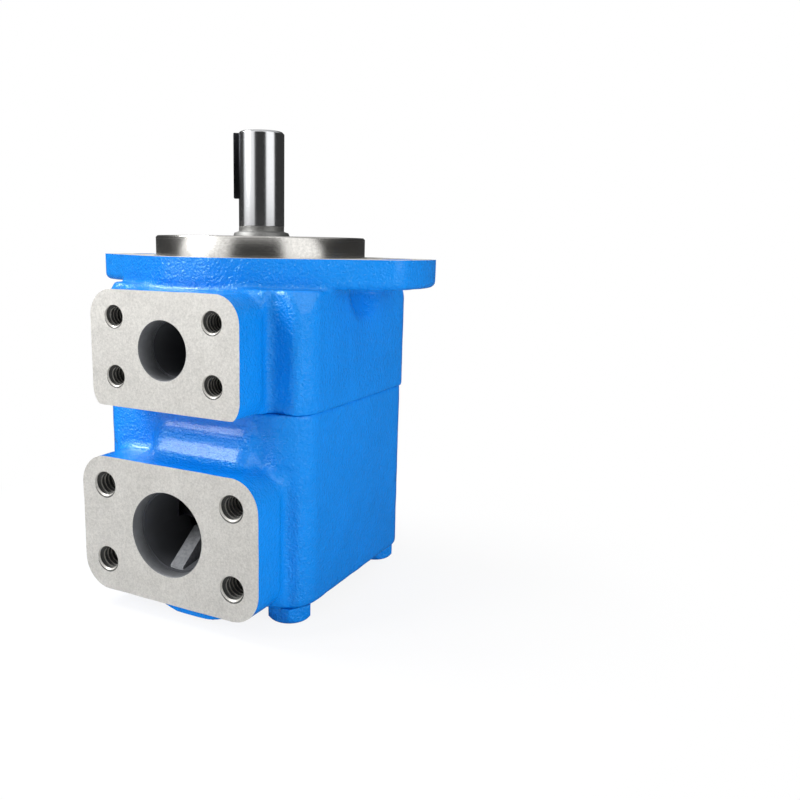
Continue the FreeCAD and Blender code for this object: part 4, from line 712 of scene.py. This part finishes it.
def bored_iron():
    """Bored iron with a film of oil: dark grey, even and half gloss."""
    material, add, spot = new_material("bored_grey_iron")
    tone = bpy.context.scene.pump_colours.bored
    rough = add("TexNoise", {"Vector": spot, "Scale": grain_size(2.2), "Detail": 4.0})
    bump = add("Bump", {"Height": rough, "Distance": 0.03 * MM, "Strength": 0.5})
    coat(add, Base_Color=shades(add, rough, tone, 0.9, 1.05), Normal=bump,
         Roughness=spread(add, rough, 0.45, 0.55), Metallic=0.3)
    return material


def plain_finish(name, tone, roughness, grain, metallic=1.0, dark=0.88):
    """Other finishes, told apart by colour, gloss and the size of their grain in millimetres. The tone is an
    sRGB hex value or the name of one of the panel's colours, and dark is the share of it in the grain."""
    material, add, spot = new_material(name)
    tone = linear(tone) if tone.startswith("#") else getattr(bpy.context.scene.pump_colours, tone)
    rough = add("TexNoise", {"Vector": spot, "Scale": grain_size(grain), "Detail": 4.0, "Roughness": 0.6})
    bump = add("Bump", {"Height": rough, "Distance": 0.03 * MM, "Strength": 0.5})
    coat(add, Base_Color=shades(add, rough, tone, dark, 1.06), Normal=bump,
         Roughness=spread(add, rough, roughness * 0.85, roughness * 1.2), Metallic=metallic)
    return material


MAKERS = {
    "enamel": enamel,
    "milled": milled_iron,
    "turned": turned_iron,
    "bored": bored_iron,
    "ground": ground_steel,
    # freshly cut threads: the crests are painted lighter, a painted highlight, and the roots darker, with oil
    # and graphite and with painted shade
    "thread_crest": partial(plain_finish, "burnished_thread_crest", "#D4D2CC", 0.36, 0.8, 0.5, 0.9),
    "thread_root": partial(plain_finish, "oily_thread_root", "#4A4A48", 0.55, 0.8, 0.3, 0.8),
    # cold drawn key steel, browned: dark and half gloss
    "key": partial(plain_finish, "browned_key_steel", "key", 0.34, 1.0),
    # pressed sheet with a grey phosphate coat: dull and even
    "pressed": partial(plain_finish, "phosphated_pressed_steel", "#5A5B5E", 0.45, 0.8),
    # hardened bearing steel, superfinished: near mirror
    "bearing": partial(plain_finish, "superfinished_bearing_steel", "#CDCFD2", 0.16, 1.5),
    # hardened and ground tool steel: grey with a soft gloss
    "hardened": partial(plain_finish, "hardened_tool_steel", "#A9ABAE", 0.28, 0.9),
    # steel left as turned: grey, the marks too coarse to mirror
    "dull_steel": partial(plain_finish, "steel_as_turned", "#8B8B89", 0.5, 0.9, 0.9, 0.75),
    # sand cast skin without paint: rough and grey, hardly a metal to the eye
    "sand_cast": partial(plain_finish, "unpainted_cast_skin", "sand_cast", 0.75, 1.6, 0.15, 0.6),
    # the cast way behind a port, oiled: dark and even
    "cast_way": partial(plain_finish, "oiled_cast_way", "#4C4E53", 0.8, 1.8, 0.1, 0.85),
    # machined cast iron plate: grey, half dull
    "iron": partial(plain_finish, "machined_iron_plate", "#8C8D8F", 0.42, 1.2, 0.9),
    # lapped bronze: brown gold, half gloss
    "bronze": partial(plain_finish, "lapped_bronze", "bronze", 0.3, 1.4),
    # moulded nitrile rubber: matt, a dielectric
    "rubber": partial(plain_finish, "moulded_nitrile_rubber", "rubber", 0.6, 0.7, 0.0, 0.8),
    # cut PTFE back-up ring: milky, a dielectric
    "plastic": partial(plain_finish, "cut_fluoroplastic", "#E6E1D2", 0.45, 1.5, 0.0, 0.95),
}
FINISHES = {}


def finish(name):
    """Each finish is made once, when a piece first asks for it."""
    if name not in FINISHES:
        FINISHES[name] = MAKERS[name]()
    return FINISHES[name]


# Pieces

# Heights of the bearing, the groove of its ring and the cartridge, which the body and the shaft share
BEARING_FRONT, BEARING_BACK, RING_BACK = -7.0, -22.0, -23.5
CARTRIDGE_FRONT, CARTRIDGE_BACK = -27.0, -58.0


def settle(thing, body, nodes, degrees=50):
    """Shades a finished piece and ties it to the frame."""
    smooth(thing, degrees)
    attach(thing, body)
    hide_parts(*nodes)


def make_front_casting():
    """The front body: cast in one, then faced, bored for seal, bearing and cartridge, drilled and tapped."""
    s = sizes()
    casting = from_field(
        "front_casting",
        front_field,
        (-s.ear_tips / 2 - 4, -s.port_reach - 6, -s.split - 4),
        (s.ear_tips / 2 + 4, s.body_depth / 2 + 6, 6),
    )
    pilot, top, joint, foot = s.pilot_dia / 2, s.pilot_height, -s.split, -0.5
    carve(casting, [round_hole("pilot_blank", pilot + 1, -6.0, top + 1, "turned", columns=160)], "UNION")
    outside = [
        (NEAR_AXIS, top), (pilot - s.pilot_bevel, top), (pilot, top - s.pilot_bevel), (pilot, foot),
        (pilot + s.foot_groove, foot), (pilot + s.foot_groove, 0.0), (FAR, 0.0), (FAR, 30.0),
        (NEAR_AXIS, 30.0),
    ]
    picks = [0, 0, 0, 0, 0, 1, 1, 1]
    facing = turned("facing_cut", outside, [finish("turned"), finish("milled")], picks, columns=192)
    # the mill takes the boss only, and stays below the flange
    carve(casting, [join([facing, pad_cutter(s, -5.0)], "machining_cut")])
    room, cartridge, bearing, ring, way, seal = 49.0, 31.52, 26.02, 27.0, 15.5, 19.02
    seal_back, bevel, above = -2.0, 0.5, 1.0
    bores = [
        (NEAR_AXIS, joint - 1), (room, joint - 1), (room, CARTRIDGE_BACK), (cartridge, CARTRIDGE_BACK),
        (cartridge, CARTRIDGE_FRONT), (bearing, CARTRIDGE_FRONT), (bearing, RING_BACK), (ring, RING_BACK),
        (ring, BEARING_BACK), (bearing, BEARING_BACK), (bearing, BEARING_FRONT), (way, BEARING_FRONT),
        (way, seal_back), (seal, seal_back), (seal, top - bevel), (seal + bevel, top),
        (seal + bevel + above, top + above), (NEAR_AXIS, top + above),
    ]
    cutters = [turned("shaft_bores", bores, [finish("bored")], columns=128)]
    hole, low, high = s.bolt_hole / 2, -s.flange_thick - 12, 5.0
    for x in (-s.bolt_span / 2, s.bolt_span / 2):
        cutters.append(round_hole("mounting_hole", hole, low, high, "enamel", x, columns=64))
    radius, depth = 6.0, 22.0
    for x, y in screw_places(s):
        cutters.append(round_hole("screw_hole", radius, joint - 1, joint + depth, "bored", x, y))
    cutters += tapped_holes("outlet_tap", s, s.outlet_level, **OUTLET_TAPS)
    # the machined bore's depth, and the diameter of the cast way behind it, which ends in the cartridge's bore
    depth, way, way_end = 8.8, 24.0, 29.3
    port = bore_cutter("outlet_cut", s, s.outlet_bore, depth, way, s.port_reach - way_end, s.outlet_level)
    carve(casting, [join(cutters, "bore_cuts"), port])
    settle(casting, "housing", ["front_body"])


def make_rear_casting():
    """The rear cover: cast in one, then faced, its inlet room turned out, drilled, grooved and tapped."""
    s = sizes()
    joint, rear = -s.split, -(s.split + s.cover_length)
    casting = from_field(
        "rear_casting",
        rear_field,
        (-s.cover_width / 2 - 4, -s.port_reach - 6, rear - 4),
        (s.cover_width / 2 + 4, s.cover_depth / 2 + 4, joint + 4),
    )
    wide, narrow, step, bottom = 49.0, 42.0, -124.0, -143.0
    room = [(NEAR_AXIS, bottom), (narrow, bottom), (narrow, step), (wide, step), (wide, joint + 1),
            (NEAR_AXIS, joint + 1)]
    cutters = [turned("room_cut", room, [finish("cast_way")], columns=128)]
    inner, outer, floor = 51.9, 54.5, joint - 2.6
    groove = [(inner, floor), (outer, floor), (outer, joint + 1), (inner, joint + 1)]
    cutters.append(turned("seal_groove_cut", groove, [finish("bored")], columns=128, closed=True))
    radius = 6.75
    for x, y in screw_places(s):
        cutters.append(round_hole("screw_hole", radius, rear - 2, joint + 2, "bored", x, y))
    cutters += tapped_holes("inlet_tap", s, s.inlet_level, **INLET_TAPS)
    # the machined bore's depth, and the diameter of the cast way behind it, which ends in the inlet room
    depth, way, way_end = 6.0, 36.0, 36.5
    port = bore_cutter("inlet_cut", s, s.inlet_bore, depth, way, s.port_reach - way_end, s.inlet_level)
    carve(casting, [pad_cutter(s, FAR), join(cutters, "bore_cuts"), port])
    carve(casting, [make_web(s)], "UNION")
    settle(casting, "housing", ["rear_cover"])


def make_web(s):
    """The cast web that crosses the inlet room below the cartridge: an outline in Y and Z, with a slope
    towards the port, carried across X."""
    low, high, slope_end = -144.0, -124.0, -137.15
    foot, crown, back = -69.5, -52.0, 43.0
    outline = np.array([(foot, low), (back, low), (back, high), (crown, high), (foot, slope_end)])
    half = s.web_thick / 2
    rings = np.stack([np.column_stack([np.full(len(outline), x), outline]) for x in (-half, half)])
    web = tube("inlet_web", rings, [finish("sand_cast")])
    outward(web)
    return web


def make_screws():
    """Hexagon heads: at angle a and height t the surface stands at the lesser of the hexagon's radius
    f / 2 cos(a folded into 60 degrees) and the crown's cone, with the shank as a plain rod."""
    s = sizes()
    joint, rear = -s.split, -(s.split + s.cover_length)
    flats, head, face, columns = 19.0, 7.5, 8.0, 96
    around = np.arange(columns) * TURN / columns
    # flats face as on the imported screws, whose corners lie at whole sixths of a turn from +X
    folded = (around % (TURN / 6)) - TURN / 12
    hexagon = flats / 2 / np.cos(folded)
    # beyond this radius the forged corners are worn to less than a third of their reach
    worn = flats / 2 * 1.115
    hexagon = np.minimum(hexagon, worn + (hexagon - worn) * 0.3)
    heights = np.array([0.0, 0.05, 0.2, 0.45, 0.8, 1.3, 2.0, 4.0, 6.6, 7.1, 7.4, head])
    crown = flats / 2 * 0.93 + heights * 0.85 - 0.25 * np.maximum(1 - heights / 0.6, 0) ** 2
    under = flats / 2 * 1.2 - np.maximum(heights - 7.0, 0) * 1.2
    radii = list(np.minimum(hexagon[None, :], np.minimum(crown, under)[:, None]))
    levels = list(rear - head + heights)
    shank = [(5.9, rear), (5.9, joint + 19.4), (5.3, joint + 20.0)]
    radii = [face] + radii + [r for r, z in shank]
    levels = [rear - head] + levels + [z for r, z in shank]
    rings = np.stack([np.stack([r * np.cos(around), r * np.sin(around), np.full(columns, z)], -1)
                      for r, z in zip(radii, levels)])
    screws = [tube("screw", rings, [finish("enamel")], centre=(x, y, 0)) for x, y in screw_places(s)]
    settle(join(screws, "cover_screw_set"), "housing", ["cover_screws"], 35)


KEY_ANGLE = math.radians(212.0)
KEYWAY_DEPTH = 2.56


def turn_about_axis(points, by):
    """Turns points about the shaft axis."""
    x, y, z = points[..., 0], points[..., 1], points[..., 2]
    return np.stack([x * math.cos(by) - y * math.sin(by), x * math.sin(by) + y * math.cos(by), z], -1)


def bar(name, outline, low, high, by, finish_name):
    """An outline in x and y carried along Z between two heights, then turned about the shaft axis."""
    return tube(name, turn_about_axis(carried(outline, (low, high)), by), [finish(finish_name)])


def make_shaft():
    """The drive shaft: a turned profile with eased edges, a keyway with a cutter's run-out, and a spline."""
    s = sizes()
    r, end = s.shaft_dia / 2, s.shaft_end
    collar, seat, groove, core, spline_core, journal = 13.9, 12.5, 11.5, 11.0, 10.0, 9.5
    profile = [
        (NEAR_AXIS, end - 7.0), (2.0, end - 7.0), (2.0, end - 3.0), (3.5, end), (r - 1, end), (r, end - 1),
        (r, 14.4), (r - 0.09, 14.3), (r - 0.09, 12.0), (13.2, 11.3), (collar, 9.4), (collar, BEARING_FRONT),
        (seat, BEARING_FRONT), (seat, BEARING_BACK), (groove, BEARING_BACK), (groove, RING_BACK),
        (seat, RING_BACK), (seat, CARTRIDGE_FRONT), (core, -28.0), (core, -70.0), (spline_core, -71.0),
        (spline_core, -106.0), (journal, -106.5), (journal, -120.0), (8.5, -121.0), (NEAR_AXIS, -121.0),
    ]
    profile = eased(profile, 0.22)[::-1]
    # the collar and the relief above it are only turned, and stay dull beside the ground journal
    middles = (profile[:-1, 1] + profile[1:, 1]) / 2
    picks = ((middles > 9.0) & (middles < 14.35)).astype(int)
    shaft = turned("turned_shaft", profile, [finish("ground"), finish("dull_steel")], picks, columns=192)
    teeth, half, root, tip = 10, 1.6, 8.0, 11.5
    tooth = [(root, -half), (tip, -half), (tip, half), (root, half)]
    turns = [KEY_ANGLE + k * TURN / teeth for k in range(teeth)]
    carve(shaft, [bar("tooth", tooth, -104.0, -72.0, turn, "ground") for turn in turns], "UNION")
    low, high, half, start, cutter = r - KEYWAY_DEPTH, 20.0, s.key_side / 2, 20.5, 10.0
    outline = [(low, -half), (high, -half), (high, half), (low, half)]
    slot = bar("keyway_cut", outline, start, 70.0, KEY_ANGLE, "milled")
    turns = np.arange(64) * TURN / 64
    circle = np.stack([low + cutter + cutter * np.cos(turns), start + cutter * np.sin(turns)], -1)
    rings = np.stack([np.stack([circle[:, 0], np.full(64, y), circle[:, 1]], -1) for y in (half, -half)])
    run_out = tube("run_out_cut", turn_about_axis(rings, KEY_ANGLE), [finish("milled")])
    carve(shaft, [slot, run_out])
    settle(shaft, "rotating_group", ["drive_shaft"], 40)


def make_key():
    """The key: a square with eased edges carried along the shaft, drawn in at both ends."""
    s = sizes()
    high = s.shaft_end - 0.8
    low = high - s.key_length
    base = s.shaft_dia / 2 - KEYWAY_DEPTH
    half, side = s.key_side / 2, s.key_side / 2 - 0.02
    corners = [(base, -side), (base + s.key_side, -side), (base + s.key_side, side), (base, side)]
    # the square runs on past its start, and one whole turn is cut out of the eased path
    outline = eased(corners + corners[:3], 0.35)[5:21]
    centre = np.array([base + half, 0.0])
    # how far in from each end a ring lies, and how far it is drawn in
    ends = ((0.0, 0.3), (0.1, 0.12), (0.3, 0.0))
    levels = [(low + step, shrink) for step, shrink in ends]
    levels += [(high - step, shrink) for step, shrink in ends[::-1]]
    rings = [carried(centre + (outline - centre) * (1 - shrink / half), [z]) for z, shrink in levels]
    rings = np.concatenate(rings)
    key = tube("square_key", turn_about_axis(rings, KEY_ANGLE), [finish("key")])
    settle(key, "rotating_group", ["shaft_key"], 35)


def make_seal():
    """The shaft seal: case and lip are closed profiles turned about the axis, and the spring is a ring whose
    wire of radius w stands at (R + w cos b, w sin b) from the axis, w falling and rising along the ring."""
    s = sizes()
    front = s.pilot_height - 3.2
    back = front - 7.0
    outer, inner, mouth, sheet = 19.0, 18.0, 16.0, 1.0
    case = [(outer, back), (outer, front), (mouth, front), (mouth, front - sheet), (inner, front - sheet),
            (inner, back)]
    touch, bottom, end = 13.95, front - sheet, back + 1
    lip = [(inner, bottom), (touch, bottom), (touch, bottom - 0.5), (touch + 0.9, bottom - 1),
           (touch, end + 0.8), (touch + 0.3, end), (touch + 1.2, end), (touch + 1.6, bottom - 1.2),
           (inner, bottom - 1.2)]
    for name, profile, tone, slot, node in (
        ("seal_shell", case, "pressed", "pressed_steel", "seal_case"),
        ("seal_rubber_lip", lip, "rubber", "seal_rubber", "seal_lip"),
    ):
        ring = eased(profile + profile[:2], 0.15)[1:-1]
        piece = turned(name, ring, [finish(tone)], columns=128, closed=True)
        outward(piece)
        settle(piece, "housing", [node], 40)
    across, along, coils, wire = 384, 12, 96, 0.6
    turn_a = np.arange(across)[:, None] * TURN / across
    turn_b = np.arange(along)[None, :] * TURN / along
    # the coil's turns show as fine ribs round the ring
    ribs = wire - 0.12 * (0.5 + 0.5 * np.cos(turn_a * coils + turn_b))
    radius = touch + 1.5 + wire + ribs * np.cos(turn_b)
    level = end + 0.8 + ribs * np.sin(turn_b)
    points = np.stack([radius * np.cos(turn_a), radius * np.sin(turn_a), level], -1).reshape(-1, 3)
    spring = new_object("seal_coil", points, grid_faces(across, along, True), [finish("bearing")])
    outward(spring)
    settle(spring, "housing", ["seal_spring"], 60)


INNER_FINISHES = {
    "bearing": ["bearing_inner_ring", "bearing_outer_ring", "bearing_balls", "locating_pins"],
    "pressed": ["bearing_cage", "cartridge_screws"],
    "key": ["bore_retaining_ring", "shaft_retaining_ring"],
    "rubber": ["cover_seal", "hub_seal"],
    "plastic": ["hub_backup_ring"],
    "iron": ["outlet_support_plate", "inlet_support_plate"],
    "bronze": ["outlet_side_plate", "inlet_side_plate", "rear_bushing"],
    "hardened": ["cam_ring", "rotor", "vane_inserts"] + [f"vane_{k:02d}" for k in range(1, 13)],
}


def finish_inner_pieces():
    for name, nodes in INNER_FINISHES.items():
        for node in nodes:
            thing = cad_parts[node]
            thing.data.materials.clear()
            thing.data.materials.append(finish(name))


# Stage

CAMERA_PLACE = (228.04, -343.87, 5.96)
CAMERA_TURN = (79.316, -0.854, 28.186)
CAMERA_LENS, CAMERA_SENSOR, CAMERA_SHIFT = 36.91, 36.0, 0.075
# the floor lies under the heads of the cover screws, and melts into the backdrop between two distances
FLOOR_LEVEL = -161.0
FLOOR_HALF = 3000.0
FLOOR_FADE = (170.0, 280.0)
WHITE = (1.0, 1.0, 1.0, 1.0)


def make_stage():
    """The camera at the photograph's angle, the floor, the lamps and the world."""
    scene = bpy.context.scene
    scene.view_settings.view_transform = "Standard"
    data = bpy.data.cameras.new("camera")
    data.lens = CAMERA_LENS
    data.sensor_width = CAMERA_SENSOR
    data.shift_x = CAMERA_SHIFT
    data.clip_start = 0.01
    camera = bpy.data.objects.new("camera", data)
    camera.location = [c * MM for c in CAMERA_PLACE]
    camera.rotation_euler = [math.radians(a) for a in CAMERA_TURN]
    scene.collection.objects.link(camera)
    scene.camera = camera
    make_floor()
    make_lamps(scene)
    make_world(scene)


def make_floor():
    """A pale floor that keeps the pump's shadow near it and melts into the white backdrop further out."""
    material, add, spot = new_material("pale_studio_floor")
    pale = add("BsdfPrincipled", {"Base Color": rgba(linear("#F4F4F4")), "Roughness": 0.9})
    away = add("VectorMath", {0: spot}, operation="LENGTH").outputs["Value"]
    fade = add("MapRange", {"Value": away, "From Min": FLOOR_FADE[0] * MM, "From Max": FLOOR_FADE[1] * MM,
                            "To Min": 0.88, "To Max": 1.0})
    white = add("Emission", {"Color": WHITE, "Strength": 1.0})
    camera_ray = add("LightPath").outputs["Is Camera Ray"]
    share = add("Math", {0: camera_ray, 1: fade}, operation="MULTIPLY")
    add("OutputMaterial", {"Surface": add("MixShader", {0: share, 1: pale, 2: white})})
    corners = [(x * FLOOR_HALF, y * FLOOR_HALF, FLOOR_LEVEL) for x, y in ((-1, -1), (1, -1), (1, 1), (-1, 1))]
    floor = new_object("floor", corners, [(0, 1, 2, 3)], [material])
    floor.visible_glossy = False


LAMPS = (
    # name, place, target, size in millimetres, watts, and whether it shows in reflections; the right lamp
    # doesn't, because one of the world's soft boxes stands for it there
    ("left_softbox", (-520, -690, 420), (0, -40, -60), (310, 460), 5.3, True),
    ("right_softbox", (860, -120, 40), (0, 0, -90), (500, 600), 4.2, False),
    ("upper_lamp", (-570, -141, 666), (0, -65, -85), (420, 300), 8.0, True),
)


def make_lamps(scene):
    """Area lamps, each turned so that its -Z points at its target."""
    for name, spot, target, size, power, mirrored in LAMPS:
        lamp = bpy.data.lights.new(name, "AREA")
        lamp.shape = "RECTANGLE"
        lamp.size, lamp.size_y = size[0] * MM, size[1] * MM
        lamp.energy = power
        thing = bpy.data.objects.new(name, lamp)
        thing.visible_glossy = mirrored
        thing.location = [c * MM for c in spot]
        way = np.array(target, float) - np.array(spot, float)
        way /= np.linalg.norm(way)
        thing.rotation_euler = (math.acos(-way[2]), 0, math.atan2(way[1], way[0]) - math.pi / 2)
        scene.collection.objects.link(thing)


SOFTBOXES = (
    # middle and half width in degrees round the pump, middle and half width of the rise, brightness
    (-122.0, 31.0, 0.5, 0.52, 1.4),
    (-11.0, 22.0, 0.5, 0.52, 1.75),
)
# how softly a soft box ends sideways, in degrees, and in the rise
SOFTBOX_EDGES = (4.0, 0.015)
EVEN_GLOW = 0.48


def smooth_window(add, source, middle, half, edge, strength=1.0):
    """A strength that falls smoothly to nothing where a value leaves a range."""
    off = add("Math", {0: source, 1: middle}, operation="SUBTRACT")
    away = add("Math", {0: off}, operation="ABSOLUTE")
    return add("MapRange", {"Value": away, "From Min": half - edge, "From Max": half + edge,
                            "To Min": strength, "To Max": 0.0}, interpolation_type="SMOOTHSTEP")


def make_world(scene):
    """White for the camera, an even glow for the surfaces, and for reflections a dim studio with two tall
    soft boxes, each a smooth window in the direction round the pump and in the rise above its horizon."""
    world = bpy.data.worlds.new("studio")
    world.use_nodes = True
    scene.world = world
    world.node_tree.nodes.clear()
    add = partial(add_node, world.node_tree)
    way = add("SeparateXYZ", {"Vector": add("TexCoord").outputs["Generated"]})
    around = add("Math", {0: way.outputs["Y"], 1: way.outputs["X"]}, operation="ARCTAN2")
    total = None
    for middle, half, rise, half_rise, strength in SOFTBOXES:
        sideways = smooth_window(add, around, math.radians(middle), math.radians(half),
                                 math.radians(SOFTBOX_EDGES[0]), strength)
        upright = smooth_window(add, way.outputs["Z"], rise, half_rise, SOFTBOX_EDGES[1])
        box = add("Math", {0: sideways, 1: upright}, operation="MULTIPLY")
        total = add("Math", {0: total, 1: box}, operation="MAXIMUM") if total else box
    upwards = add("MapRange", {"Value": way.outputs["Z"], "From Min": 0.45, "From Max": 0.9, "To Min": 0.05,
                               "To Max": 0.8}, interpolation_type="SMOOTHSTEP")
    total = add("Math", {0: total, 1: upwards}, operation="MAXIMUM")
    path = add("LightPath")
    mirrored = add("Background", {"Color": WHITE, "Strength": total})
    even = add("Background", {"Color": WHITE, "Strength": EVEN_GLOW})
    seen = add("Background", {"Color": WHITE, "Strength": 1.0})
    lit = add("MixShader", {0: path.outputs["Is Glossy Ray"], 1: even, 2: mirrored})
    add("OutputWorld", {"Surface": add("MixShader", {0: path.outputs["Is Camera Ray"], 1: lit, 2: seen})})


# Operators

class PUMP_OT_front_casting(Operator):
    """Casts and machines the front body"""
    bl_idname = "pump.front_casting"
    bl_label = "Front casting"

    def execute(self, context):
        make_front_casting()
        return {"FINISHED"}


class PUMP_OT_rear_casting(Operator):
    """Casts and machines the rear cover"""
    bl_idname = "pump.rear_casting"
    bl_label = "Rear casting"

    def execute(self, context):
        make_rear_casting()
        return {"FINISHED"}


class PUMP_OT_cover_screws(Operator):
    """Makes the four hexagon head screws"""
    bl_idname = "pump.cover_screws"
    bl_label = "Cover screws"

    def execute(self, context):
        make_screws()
        return {"FINISHED"}


class PUMP_OT_drive_shaft(Operator):
    """Turns and grinds the drive shaft"""
    bl_idname = "pump.drive_shaft"
    bl_label = "Drive shaft"

    def execute(self, context):
        make_shaft()
        return {"FINISHED"}


class PUMP_OT_shaft_key(Operator):
    """Makes the square key"""
    bl_idname = "pump.shaft_key"
    bl_label = "Key"

    def execute(self, context):
        make_key()
        return {"FINISHED"}


class PUMP_OT_shaft_seal(Operator):
    """Makes the seal's case, lip and spring"""
    bl_idname = "pump.shaft_seal"
    bl_label = "Shaft seal"

    def execute(self, context):
        make_seal()
        return {"FINISHED"}


class PUMP_OT_inner_pieces(Operator):
    """Gives the pieces inside their finishes"""
    bl_idname = "pump.inner_pieces"
    bl_label = "Inner pieces"

    def execute(self, context):
        finish_inner_pieces()
        return {"FINISHED"}


class PUMP_OT_stage(Operator):
    """Sets up the floor, the lamps and the camera"""
    bl_idname = "pump.stage"
    bl_label = "Stage"

    def execute(self, context):
        make_stage()
        return {"FINISHED"}


OPERATORS = [
    PUMP_OT_front_casting,
    PUMP_OT_rear_casting,
    PUMP_OT_cover_screws,
    PUMP_OT_drive_shaft,
    PUMP_OT_shaft_key,
    PUMP_OT_shaft_seal,
    PUMP_OT_inner_pieces,
    PUMP_OT_stage,
]


class PUMP_PT_panel(Panel):
    """Lists the pump's pieces in the sidebar"""
    bl_idname = "PUMP_PT_panel"
    bl_label = "Vane pump"
    bl_space_type = "VIEW_3D"
    bl_region_type = "UI"
    bl_category = "Pump"

    def draw(self, context):
        layout = self.layout
        for made in OPERATORS:
            layout.operator(made.bl_idname)
        for group in (context.scene.pump_sizes, context.scene.pump_colours):
            box = layout.box()
            for name in type(group).__annotations__:
                box.prop(group, name)


CLASSES = [PumpSizes, PumpColours] + OPERATORS + [PUMP_PT_panel]


def register():
    for made in CLASSES:
        bpy.utils.register_class(made)
    bpy.types.Scene.pump_sizes = PointerProperty(type=PumpSizes)
    bpy.types.Scene.pump_colours = PointerProperty(type=PumpColours)


def unregister():
    del bpy.types.Scene.pump_sizes
    del bpy.types.Scene.pump_colours
    for made in reversed(CLASSES):
        bpy.utils.unregister_class(made)


def main():
    register()
    for made in OPERATORS:
        group, key = made.bl_idname.split(".")
        getattr(getattr(bpy.ops, group), key)()


if __name__ == "__main__":
    main()
